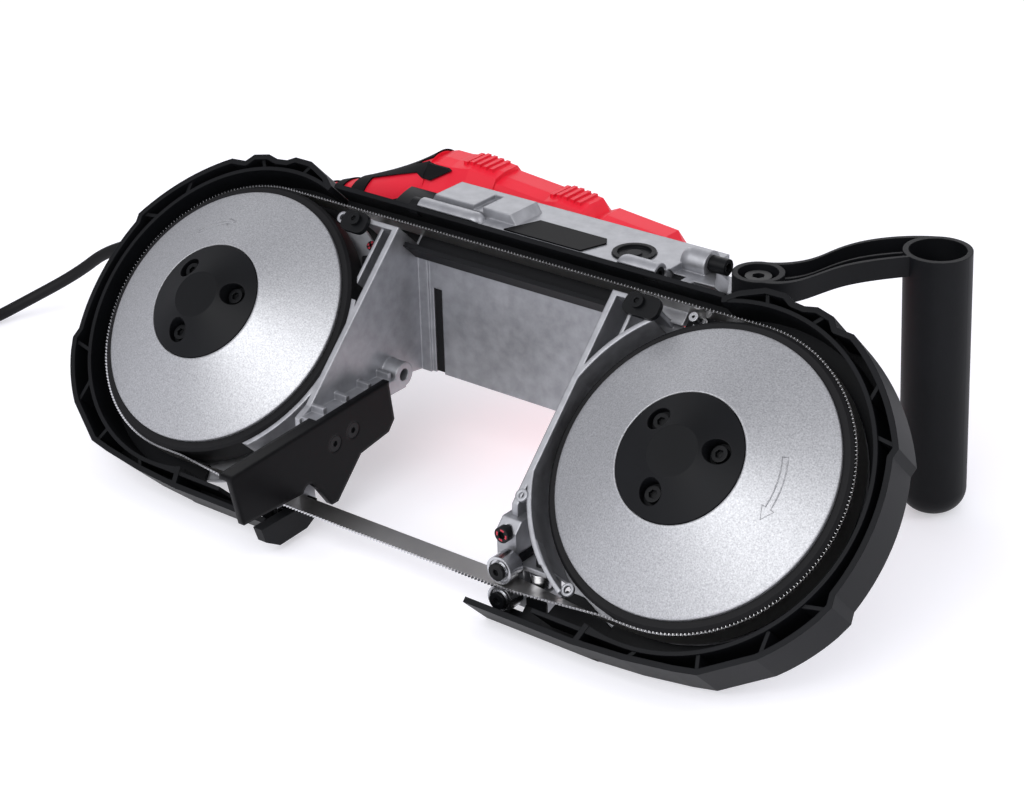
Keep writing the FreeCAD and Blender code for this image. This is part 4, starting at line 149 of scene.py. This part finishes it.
coil_steps = PER_TURN * COIL_TURNS
half_turn = PER_TURN // 2
for k in range(1, coil_steps):
    turns = k / PER_TURN
    route.append(coil_point(turns, outer - COIL_PITCH * turns, on_tie))
for k in range(half_turn + 1):
    share = k / half_turn
    climb = on_tie + COIL_PITCH * (0.5 - 0.5 * math.cos(math.pi * share))
    route.append(coil_point(COIL_TURNS + share / 2, COIL_INNER - COIL_TUCK, climb))
for k in range(1, coil_steps + 1):
    turns = k / PER_TURN
    route.append(coil_point(COIL_TURNS + 0.5 + turns, COIL_INNER + COIL_PITCH * turns, on_tie + COIL_PITCH))
end_angle = first_angle - 2 * math.pi * (2 * COIL_TURNS + 0.5)
end_way = Vector((math.sin(end_angle), -math.cos(end_angle), 0))
end_spot = coil_centre + Vector((math.cos(end_angle), math.sin(end_angle), 0)) * outer
end_spot.z = on_tie + COIL_PITCH
route += [end_spot + end_way * COIL_TAIL * share for share in (0.5, 1.0)]

cord_curve = bpy.data.curves.new("power_cord_line", "CURVE")
cord_curve.dimensions = "3D"
spline = cord_curve.splines.new("NURBS")
spline.points.add(len(route) - 1)
for point, spot in zip(spline.points, route):
    point.co = (spot.x, spot.y, spot.z, 1.0)
    point.radius = CORD_D / 2
spline.order_u = 3
spline.use_endpoint_u = True
spline.resolution_u = 8
cord_curve.bevel_depth = 1.0
cord_curve.bevel_resolution = 5
cord_curve.use_fill_caps = True
cord = show(bpy.data.objects.new("power_cord_smooth", cord_curve))
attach(cord, "saw_body")
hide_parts("power_cord", "cord_coil")

# %% [markdown]
# Colours are written as sRGB hex values, the way a colour picker shows them.
# One function turns them into the linear values that the shaders need.


# %% Colour and material helpers
def linear(code):
    values = [int(code[i:i + 2], 16) / 255 for i in (1, 3, 5)]
    return [v / 12.92 if v <= 0.04045 else ((v + 0.055) / 1.055) ** 2.4 for v in values] + [1.0]


def new_material(name, metallic, roughness, gloss=0.5):
    material = bpy.data.materials.new(name)
    material.use_nodes = True
    tree = material.node_tree
    shader = tree.nodes["Principled BSDF"]
    shader.inputs["Metallic"].default_value = metallic
    shader.inputs["Roughness"].default_value = roughness
    shader.inputs["Specular IOR Level"].default_value = gloss
    return material, tree, shader


def add(tree, kind, **inputs):
    node = tree.nodes.new(kind)
    for name, value in inputs.items():
        node.inputs[name.replace("_", " ")].default_value = value
    return node


def noise(tree, size_mm, detail=3.0, roughness=0.55):
    place = tree.nodes.new("ShaderNodeTexCoord")
    scale = 1.0 / (size_mm * MM)
    texture = add(tree, "ShaderNodeTexNoise", Scale=scale, Detail=detail, Roughness=roughness)
    tree.links.new(place.outputs["Object"], texture.inputs["Vector"])
    return texture.outputs["Fac"]


def ramp(tree, source, low_stop, high_stop):
    node = tree.nodes.new("ShaderNodeValToRGB")
    for element, (position, code) in zip(node.color_ramp.elements, (low_stop, high_stop)):
        element.position = position
        element.color = linear(code)
    tree.links.new(source, node.inputs["Fac"])
    return node.outputs["Color"]


def vary_colour(tree, shader, source, colours, low=0.3, high=0.7):
    colour = ramp(tree, source, (low, colours[0]), (high, colours[1]))
    tree.links.new(colour, shader.inputs["Base Color"])


def vary_roughness(tree, shader, source, rough):
    node = add(tree, "ShaderNodeMapRange", To_Min=rough[0], To_Max=rough[1])
    tree.links.new(source, node.inputs["Value"])
    tree.links.new(node.outputs["Result"], shader.inputs["Roughness"])


def bump(tree, shader, height, depth_mm, strength, edge_mm=0.0):
    node = add(tree, "ShaderNodeBump", Strength=strength, Distance=depth_mm * MM)
    tree.links.new(height, node.inputs["Height"])
    if edge_mm:
        rounding = add(tree, "ShaderNodeBevel", Radius=edge_mm * MM)
        rounding.samples = 6
        tree.links.new(rounding.outputs["Normal"], node.inputs["Normal"])
    tree.links.new(node.outputs["Normal"], shader.inputs["Normal"])


# %% [markdown]
# Most materials have a soft cloud of colour and gloss a few centimetres across, a fine grain as
# bump, and slightly rounded edges. A casting's surface is blotchy: pale patches a few millimetres
# across over a darker ground, with pits. The wheel covers' paint has metal flakes, each a little
# brighter or darker. The blade gets painted shade: its faces that point along the wheel axis are
# darkened, standing in for the shadow in its channel, while its twisted cutting run stays bright.

# %% Kinds of surface
CLOUD_MM = 40.0
BLOTCH_MM = 7.0
PITS = {"size": 0.8, "depth": 0.10, "strength": 0.35, "edge": 1.2}
FLAKES = {"size": 0.8, "depth": 0.10, "strength": 0.50, "edge": 1.6}
PAINT_CLOUD_MM = 60.0


def surface(name, colours, metallic, rough, grain, edge_mm=0.0, gloss=0.5):
    grain_mm, depth_mm, strength = grain
    material, tree, shader = new_material(name, metallic, rough[0], gloss)
    cloud = noise(tree, CLOUD_MM)
    vary_colour(tree, shader, cloud, colours)
    vary_roughness(tree, shader, cloud, rough)
    bump(tree, shader, noise(tree, grain_mm), depth_mm, strength, edge_mm)
    return material


def casting(name, colours, metallic, rough):
    material, tree, shader = new_material(name, metallic, rough[0])
    blotch = noise(tree, BLOTCH_MM, detail=5.0)
    vary_colour(tree, shader, blotch, colours)
    vary_roughness(tree, shader, blotch, rough)
    bump(tree, shader, noise(tree, PITS["size"]), PITS["depth"], PITS["strength"], PITS["edge"])
    return material


def flake_paint(name, colours, metallic, rough):
    material, tree, shader = new_material(name, metallic, rough[0])
    flakes = noise(tree, FLAKES["size"], detail=2.0, roughness=0.7)
    vary_colour(tree, shader, flakes, colours, 0.30, 0.72)
    vary_roughness(tree, shader, noise(tree, PAINT_CLOUD_MM), rough)
    bump(tree, shader, flakes, FLAKES["depth"], FLAKES["strength"], FLAKES["edge"])
    return material


# Painted shade: the base colour is multiplied down to the shade colour on faces whose normal points along the
# axis.
def paint_edge_shade(material, axis, shade):
    tree = material.node_tree
    colour = tree.nodes["Principled BSDF"].inputs["Base Color"]
    place = tree.nodes.new("ShaderNodeTexCoord")
    edge_on = tree.nodes.new("ShaderNodeVectorMath")
    edge_on.operation = "DOT_PRODUCT"
    edge_on.inputs[1].default_value = axis
    tree.links.new(place.outputs["Normal"], edge_on.inputs[0])
    shade_mix = tree.nodes.new("ShaderNodeVectorMath")
    shade_mix.operation = "MULTIPLY"
    tree.links.new(colour.links[0].from_socket, shade_mix.inputs[0])
    tree.links.new(ramp(tree, edge_on.outputs["Value"], (0.75, "#FFFFFF"), (0.9, shade)), shade_mix.inputs[1])
    tree.links.new(shade_mix.outputs["Vector"], colour)


# %% [markdown]
# One look for each material slot of the part. A surface is given by its two colours, how metallic
# it is, its range of roughness, and its grain as size in mm, depth in mm and strength.

# %% Materials
looks = {
    "cast_aluminium": casting("cast_aluminium", ("#9A9B9F", "#AEAFB3"), 0.85, (0.38, 0.50)),
    "silver_paint": flake_paint("silver_metallic_paint", ("#98999C", "#C2C3C6"), 0.8, (0.44, 0.50)),
    "black_plastic": surface("black_glass_filled_nylon", ("#0B0C0E", "#101114"), 0.0, (0.46, 0.56),
                             (0.5, 0.05, 0.30), 0.6, gloss=0.14),
    "red_plastic": surface("red_glass_filled_nylon", ("#E0182F", "#E61F36"), 0.0, (0.42, 0.50),
                           (0.5, 0.04, 0.25), 0.8, gloss=0.30),
    "black_grip": surface("black_soft_grip_elastomer", ("#0A0A0C", "#0F0F11"), 0.0, (0.68, 0.78),
                          (0.9, 0.08, 0.40), 0.4, gloss=0.15),
    "black_rubber": surface("black_rubber", ("#0B0B0D", "#101012"), 0.0, (0.55, 0.65),
                            (0.8, 0.05, 0.30), 0.3, gloss=0.20),
    "black_steel": surface("black_powder_coated_steel", ("#0A0B0D", "#0F1012"), 0.0, (0.32, 0.42),
                           (0.6, 0.04, 0.30), 0.5, gloss=0.16),
    "blade_steel": surface("bimetal_blade_steel", ("#CCCAC7", "#DAD8D5"), 1.0, (0.28, 0.36),
                           (0.4, 0.03, 0.25)),
    "machined_steel": surface("turned_steel", ("#A9AAAD", "#C6C7CA"), 1.0, (0.20, 0.30),
                              (0.5, 0.02, 0.20), 0.4),
    "gear_bronze": surface("gear_bronze", ("#8A6A38", "#A37F47"), 1.0, (0.30, 0.40),
                           (0.6, 0.03, 0.25), 0.2),
    "label_film": surface("black_label_film", ("#060608", "#0A0A0C"), 0.0, (0.30, 0.38),
                          (0.6, 0.01, 0.15), 0.2, gloss=0.03),
    "plug_brass": surface("nickel_plated_brass", ("#B5AE9C", "#C9C2AF"), 1.0, (0.20, 0.28),
                          (0.5, 0.02, 0.15), 0.2),
}
tooth_steel = surface("ground_tooth_steel", ("#BDBDBF", "#D4D4D6"), 1.0, (0.22, 0.30), (0.5, 0.02, 0.10))
lock_paint = surface("red_thread_lock_paint", ("#A81E30", "#C03044"), 0.0, (0.30, 0.40), (0.4, 0.05, 0.30))
bent_sheet = surface("black_bent_sheet_steel", ("#050507", "#09090B"), 0.0, (0.30, 0.38),
                     (0.6, 0.03, 0.25), 2.8, gloss=0.08)
# Painted shade on the blade: faces pointing along the wheel axis go dark, as if in the channel's shadow.
paint_edge_shade(looks["blade_steel"], axis_n, "#484848")

for part in frame["record"]["subparts"]:
    obj = nodes[part["node"]]
    obj.data.materials.clear()
    obj.data.materials.append(looks[part["material_slot"]])
nodes["guide_pins"].data.materials[0] = looks["black_steel"]
nodes["work_stop"].data.materials[0] = bent_sheet
cord_curve.materials.append(looks["black_rubber"])


# %% Piece helpers
def mesh_piece(name, verts, faces, slot, material=None):
    data = bpy.data.meshes.new(name)
    data.from_pydata([tuple(v) for v in verts], [], faces)
    data.validate()
    data.materials.append(material or looks[slot])
    obj = show(bpy.data.objects.new(name, data))
    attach(obj, "saw_body")


def prism_faces(count):
    faces = [tuple(range(count))[::-1], tuple(range(count, 2 * count))]
    return faces + [(k, (k + 1) % count, count + (k + 1) % count, count + k) for k in range(count)]


def baked(obj):
    graph = bpy.context.evaluated_depsgraph_get()
    return bpy.data.meshes.new_from_object(obj.evaluated_get(graph))


# %% [markdown]
# The blade's teeth are one wedge, repeated by Geometry Nodes along the blade's front edge.
# The edge is a closed line of points: the upper run, the idler wheel's arc, the cutting run and the
# drive wheel's arc. Each point carries the direction in which its tooth faces, which turns with
# the blade's twist in the cutting run.

# %% Blade edge
BLADE_R = 80.9
BLADE_W = 13.0
BLADE_MID = -11.0
TWIST_START = 142.0
GUIDE_U = 79.0
TWIST = math.degrees(math.atan2(-axis_n.y, axis_n.z))
UPPER_STEPS = 64
CUT_STEPS = 160
ARC_STEP = 2
blade_front = BLADE_MID + BLADE_W / 2


def arc_spots(centre_u, first):
    spots = []
    for k in range(180 // ARC_STEP):
        a = math.radians(first - ARC_STEP * k)
        place = wheel_point(centre_u + BLADE_R * math.cos(a), BLADE_R * math.sin(a), blade_front)
        spots.append((place, axis_n))
    return spots


def upper_spots():
    runs = [-wheel_u + 2 * wheel_u * k / UPPER_STEPS for k in range(UPPER_STEPS)]
    return [(wheel_point(u, BLADE_R, blade_front), axis_n) for u in runs]


def cut_spots():
    spots = []
    for k in range(CUT_STEPS):
        u = wheel_u - 2 * wheel_u * k / CUT_STEPS
        share = min(max((TWIST_START - abs(u)) / (TWIST_START - GUIDE_U), 0.0), 1.0)
        a = math.radians(TWIST * share)
        facing = axis_n * math.cos(a) - axis_v * math.sin(a)
        spots.append((wheel_point(u, -BLADE_R, BLADE_MID) + facing * BLADE_W / 2 * MM, facing))
    return spots


edge = upper_spots() + arc_spots(wheel_u, 90) + cut_spots() + arc_spots(-wheel_u, -90)
edge_mesh = bpy.data.meshes.new("blade_edge")
edge_lines = [(k, (k + 1) % len(edge)) for k in range(len(edge))]
edge_mesh.from_pydata([tuple(place) for place, facing in edge], edge_lines, [])
facing_data = edge_mesh.attributes.new("facing", "FLOAT_VECTOR", "POINT")
for k, (place, facing) in enumerate(edge):
    facing_data.data[k].vector = facing
teeth = show(bpy.data.objects.new("blade_teeth", edge_mesh))

# %% Blade teeth
TOOTH_PITCH = 2.1
TOOTH_HALF_T = 0.5
TOOTH_PROFILE = ((-0.45, -0.3), (0.75, -0.3), (0.75, 0.0), (0.55, 1.1), (0.35, 1.1), (-0.45, 0.0))
tooth_sides = (-TOOTH_HALF_T, TOOTH_HALF_T)
tooth_verts = [(x * MM, y * MM, z * MM) for y in tooth_sides for x, z in TOOTH_PROFILE]
tooth_mesh = bpy.data.meshes.new("tooth")
tooth_mesh.from_pydata(tooth_verts, [], prism_faces(len(TOOTH_PROFILE)))
tooth = show(bpy.data.objects.new("tooth", tooth_mesh))

row = bpy.data.node_groups.new("teeth_along_edge", "GeometryNodeTree")
row.interface.new_socket("Geometry", in_out="INPUT", socket_type="NodeSocketGeometry")
pitch_socket = row.interface.new_socket("Pitch", in_out="INPUT", socket_type="NodeSocketFloat")
row.interface.new_socket("Geometry", in_out="OUTPUT", socket_type="NodeSocketGeometry")
source = row.nodes.new("NodeGroupInput")
result = row.nodes.new("NodeGroupOutput")
to_curve = row.nodes.new("GeometryNodeMeshToCurve")
resample = row.nodes.new("GeometryNodeResampleCurve")
resample.mode = "LENGTH"
tangent = row.nodes.new("GeometryNodeInputTangent")
facing_in = row.nodes.new("GeometryNodeInputNamedAttribute")
facing_in.data_type = "FLOAT_VECTOR"
facing_in.inputs["Name"].default_value = "facing"
along = row.nodes.new("FunctionNodeAlignRotationToVector")
along.axis = "X"
outward = row.nodes.new("FunctionNodeAlignRotationToVector")
outward.axis = "Z"
outward.pivot_axis = "X"
shape = row.nodes.new("GeometryNodeObjectInfo")
shape.inputs["Object"].default_value = tooth
set_teeth = row.nodes.new("GeometryNodeInstanceOnPoints")
real = row.nodes.new("GeometryNodeRealizeInstances")
paint = row.nodes.new("GeometryNodeSetMaterial")
paint.inputs["Material"].default_value = tooth_steel
row_links = (
    (source.outputs["Geometry"], to_curve.inputs["Mesh"]),
    (to_curve.outputs["Curve"], resample.inputs["Curve"]),
    (source.outputs["Pitch"], resample.inputs["Length"]),
    (resample.outputs["Curve"], set_teeth.inputs["Points"]),
    (tangent.outputs["Tangent"], along.inputs["Vector"]),
    (along.outputs["Rotation"], outward.inputs["Rotation"]),
    (facing_in.outputs["Attribute"], outward.inputs["Vector"]),
    (outward.outputs["Rotation"], set_teeth.inputs["Rotation"]),
    (shape.outputs["Geometry"], set_teeth.inputs["Instance"]),
    (set_teeth.outputs["Instances"], real.inputs["Geometry"]),
    (real.outputs["Geometry"], paint.inputs["Geometry"]),
    (paint.outputs["Geometry"], result.inputs["Geometry"]),
)
for output, socket in row_links:
    row.links.new(output, socket)
modifier = teeth.modifiers.new("teeth", "NODES")
modifier.node_group = row
modifier[pitch_socket.identifier] = TOOTH_PITCH * MM
tooth_row = baked(teeth)
teeth.modifiers.remove(modifier)
teeth.data = tooth_row
bpy.data.objects.remove(tooth)
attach(teeth, "saw_body")

# %% [markdown]
# Each wheel cover has a direction arrow, raised as a thin outline on its cone. An arrow follows a
# circle round the wheel. Its angles are those of its tail, its neck and its point.

# %% Direction arrows
CONE = math.tan(math.radians(23.7))
CONE_R = 75.0
ARROW_LINE_R = 0.36
ARROW_STEPS = 8


def cone_place(centre_u, r, degrees):
    a = math.radians(degrees)
    return wheel_point(centre_u + r * math.cos(a), r * math.sin(a), (CONE_R - r) * CONE)


def arrow(name, centre_u, r, half, barb, angles, body):
    tail, neck, tip_angle = angles
    steps = range(ARROW_STEPS)
    outline = [(r - half, tail), (r + half, tail)]
    outline += [(r + half, tail + (neck - tail) * (k + 1) / ARROW_STEPS) for k in steps]
    outline += [(r + barb, neck), (r, tip_angle), (r - barb, neck)]
    outline += [(r - half, neck + (tail - neck) * k / ARROW_STEPS) for k in steps]
    curve = bpy.data.curves.new(name + "_line", "CURVE")
    curve.dimensions = "3D"
    line = curve.splines.new("POLY")
    line.points.add(len(outline) - 1)
    for point, (radius, degrees) in zip(line.points, outline):
        point.co = (*cone_place(centre_u, radius, degrees), 1.0)
    line.use_cyclic_u = True
    curve.bevel_depth = ARROW_LINE_R * MM
    curve.bevel_resolution = 2
    draft = show(bpy.data.objects.new(name + "_draft", curve))
    bpy.context.view_layer.update()
    data = baked(draft)
    bpy.data.objects.remove(draft)
    data.materials.clear()
    data.materials.append(looks["silver_paint"])
    obj = show(bpy.data.objects.new(name, data))
    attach(obj, body)


arrow("idler_arrow", wheel_u, 51.2, 1.25, 3.0, (20.4, -9.0, -16.2), "idler_wheel")
arrow("drive_arrow", -wheel_u, 52.0, 1.25, 2.6, (132.0, 110.2, 104.6), "drive_wheel")

# %% [markdown]
# Small fittings are prisms, rings and small dabs of paint, all on the saw's body.

# %% Shapes of the fittings
RING_SIDES = 32
DAB_STARTS = (10, 105, 190, 285)
DAB_ANGLE = 45
DAB_STEPS = 8
DAB_EDGE = 0.06
DAB_CROWN = 0.12


def prism(name, outline, rise, slot):
    verts = list(outline) + [p + rise for p in outline]
    mesh_piece(name, verts, prism_faces(len(outline)), slot)


def rounded(corners, r, steps=4):
    points = []
    for k, corner in enumerate(corners):
        here = Vector(corner)
        before = (Vector(corners[k - 1]) - here).normalized()
        after = (Vector(corners[(k + 1) % len(corners)]) - here).normalized()
        for i in range(steps + 1):
            share = i / steps
            points.append(here + before * r * (1 - share) ** 2 + after * r * share ** 2)
    return points


def spoke(axis, angle):
    side = axis.orthogonal().normalized()
    return side * math.cos(angle) + axis.cross(side) * math.sin(angle)


def ring(name, centre, axis, radii, height, slot):
    count = RING_SIDES
    verts = []
    for rise in (0.0, height):
        for r in radii:
            for k in range(count):
                verts.append(centre + axis * rise * MM + spoke(axis, 2 * math.pi * k / count) * r * MM)
    faces = []
    for k in range(count):
        j = (k + 1) % count
        faces.append((k, j, 2 * count + j, 2 * count + k))
        faces.append((count + j, count + k, 3 * count + k, 3 * count + j))
        faces.append((2 * count + k, 2 * count + j, 3 * count + j, 3 * count + k))
        faces.append((j, k, count + k, count + j))
    mesh_piece(name, verts, faces, slot)


def lock_marks(name, centre, axis, inner, outer_r):
    verts, faces = [], []
    for start in DAB_STARTS:
        first = len(verts)
        for k in range(DAB_STEPS + 1):
            out = spoke(axis, math.radians(start + DAB_ANGLE * k / DAB_STEPS))
            crown = DAB_EDGE + DAB_CROWN * math.sin(math.pi * k / DAB_STEPS)
            verts += [centre + out * inner * MM, centre + out * outer_r * MM]
            verts.append(centre + out * (inner + outer_r) / 2 * MM + axis * crown * MM)
        for k in range(DAB_STEPS):
            low_in, low_out, top = first + 3 * k, first + 3 * k + 1, first + 3 * k + 2
            faces += [(low_in, top, top + 3, low_in + 3), (top, low_out, low_out + 3, top + 3)]
    mesh_piece(name, verts, faces, "red_plastic", lock_paint)


# %% [markdown]
# In the rear: a rubber strip in the back panel's slot, and a black block with its screw in the
# wheel bay. Red lock paint marks that screw's head and the front guide bracket's.

# %% Rear fittings and lock paint
STRIP_SECTION = ((-62.2, 70.0), (-62.2, 68.3), (-56.8, 68.3), (-56.8, 70.0))
STRIP_FOOT, STRIP_L = -34.0, 49.6
BLOCK_SECTION = ((-104.0, 60.4), (-96.4, 63.0), (-93.6, 57.2), (-100.2, 54.4))
BAY_FLOOR = -26.4
BLOCK_H = 6.4
BAY_SCREW = (-102.2, 67.8)
BAY_SCREW_H = 6.0
BRACKET_SCREW = (74.0, -42.5)
HEAD_REACH = 6.0

strip_foot = [body_point(x, y, STRIP_FOOT) for x, y in rounded(STRIP_SECTION, 0.8)]
prism("panel_strip", strip_foot, Vector((0, 0, STRIP_L)) * MM, "black_rubber")
block_foot = [wheel_point(u, v, BAY_FLOOR) for u, v in rounded(BLOCK_SECTION, 1.2)]
prism("bay_block", block_foot, axis_n * BLOCK_H * MM, "black_plastic")

bay_screw = wheel_point(*BAY_SCREW, BAY_FLOOR)
ring("bay_screw", bay_screw, axis_n, (2.6, 0.9), BAY_SCREW_H, "black_steel")
lock_marks("bay_screw_lock", bay_screw + axis_n * BAY_SCREW_H * MM, axis_n, 1.0, 2.4)

bracket_screw = body_point(BRACKET_SCREW[0], 0.0, BRACKET_SCREW[1])
screws = nodes["frame_screws"]
screw_points = [screws.matrix_world @ v.co for v in screws.data.vertices]
near_head = [p for p in screw_points if (p - bracket_screw).xz.length < HEAD_REACH * MM]
bracket_screw.y = min(p.y for p in near_head)
lock_marks("bracket_screw_lock", bracket_screw, Vector((0, -1, 0)), 2.3, 3.3)

# %% [markdown]
# On the casting: three eyelets on its edges, and the foot of the front wall. By the front wheel: the
# guard's trough under the blade, a screen in the bay with a bright bolt, and a shield at the guide.

# %% Front fittings
EYELETS = {
    "rear_eyelet": ((-110.2, 72.3, 0.2), (3.3, 1.8)),
    "front_eyelet": ((75.0, -39.8, 1.0), (3.4, 1.5)),
    "foot_eyelet": ((121.0, -75.5, -1.6), (3.4, 2.0)),
}
EYELET_H = 2.0
FOOT_RADII = (88.8, 86.6)
FOOT_ANGLES = [math.radians(222.0 + 21.0 * k / 12) for k in range(13)]
FOOT_BACK, FOOT_H = -6.0, 7.6
SCREEN_BACK, SCREEN_T = -26.2, 1.7
TROUGH = (
    (70.0, -97.5), (70.0, -90.4), (87.2, -90.4), (87.2, -86.6), (101.0, -86.6), (105.5, -72.5),
    (116.0, -72.5), (140.0, -83.0), (158.0, -84.5), (158.0, -97.5),
)
SCREEN = ((103.4, 65.0), (103.4, 87.0), (131.0, 87.0), (131.0, 80.0), (112.0, 65.0))
SHIELD_SECTION = ((87.0, -83.5), (99.4, -83.5), (99.4, -74.0), (87.0, -74.0))
SHIELD_BACK, SHIELD_T = -41.65, 1.6
BOLT_FOOT = (114.4, 77.0, -24.6)
BOLT_RINGS = {"bay_bolt": (0.0, (2.6, 0.8), 15.0), "bay_bolt_collar": (4.4, (4.0, 2.6), 1.8)}

for name, (spot, radii) in EYELETS.items():
    ring(name, wheel_point(*spot), axis_n, radii, EYELET_H, "cast_aluminium")
foot_outline = []
for r, angles in zip(FOOT_RADII, (FOOT_ANGLES, FOOT_ANGLES[::-1])):
    foot_outline += [wheel_point(wheel_u + r * math.cos(a), r * math.sin(a), FOOT_BACK) for a in angles]
prism("wall_foot", foot_outline, axis_n * FOOT_H * MM, "cast_aluminium")

for name, outline in (("guard_trough", TROUGH), ("bay_screen", SCREEN)):
    sheet_foot = [wheel_point(u, v, SCREEN_BACK) for u, v in outline]
    prism(name, sheet_foot, axis_n * SCREEN_T * MM, "black_plastic")
shield_foot = [body_point(x, SHIELD_BACK, z) for x, z in rounded(SHIELD_SECTION, 1.5)]
prism("guide_shield", shield_foot, Vector((0, -SHIELD_T, 0)) * MM, "black_plastic")

bolt_foot = wheel_point(*BOLT_FOOT)
for name, (rise, radii, height) in BOLT_RINGS.items():
    ring(name, bolt_foot + axis_n * rise * MM, axis_n, radii, height, "machined_steel")

# %% [markdown]
# A pale floor, a bright world and three soft lights make the plain studio of the photograph.
# The floor glows a little, so that it stays white at its far edge and its shadows stay soft.

# %% Floor, world and lights
FLOOR_REACH = 8.0
FLOOR_GLOW = 0.45
WORLD_STRENGTH = 0.6
LIGHT_TARGET = Vector((0, 0, 0.05))

floor_mesh = bpy.data.meshes.new("floor")
floor_signs = ((-1, -1), (1, -1), (1, 1), (-1, 1))
floor_mesh.from_pydata([(x * FLOOR_REACH, y * FLOOR_REACH, 0) for x, y in floor_signs], [], [(0, 1, 2, 3)])
floor = show(bpy.data.objects.new("floor", floor_mesh))
paper, _, paper_shader = new_material("pale_paper", 0.0, 0.9, 0.0)
paper_shader.inputs["Base Color"].default_value = linear("#D9D9DE")
paper_shader.inputs["Emission Color"].default_value = linear("#FCFCFF")
paper_shader.inputs["Emission Strength"].default_value = FLOOR_GLOW
floor_mesh.materials.append(paper)

world = bpy.data.worlds.new("studio")
bpy.context.scene.world = world
world.use_nodes = True
background = world.node_tree.nodes["Background"]
background.inputs["Color"].default_value = linear("#F8F8FF")
background.inputs["Strength"].default_value = WORLD_STRENGTH


def soft_light(name, place, size, power):
    data = bpy.data.lights.new(name, "AREA")
    data.shape = "RECTANGLE"
    data.size, data.size_y = size
    data.energy = power
    lamp = show(bpy.data.objects.new(name, data))
    lamp.location = place
    lamp.rotation_euler = (LIGHT_TARGET - Vector(place)).to_track_quat("-Z", "Y").to_euler()


soft_light("front_softbox", (0.15, -1.65, 1.45), (2.2, 1.5), 37.0)
soft_light("back_softbox", (-1.3, 1.7, 1.2), (2.2, 1.0), 9.0)
soft_light("right_softbox", (1.7, 0.6, 1.2), (1.0, 1.2), 8.0)
bpy.context.scene.view_settings.view_transform = "Standard"
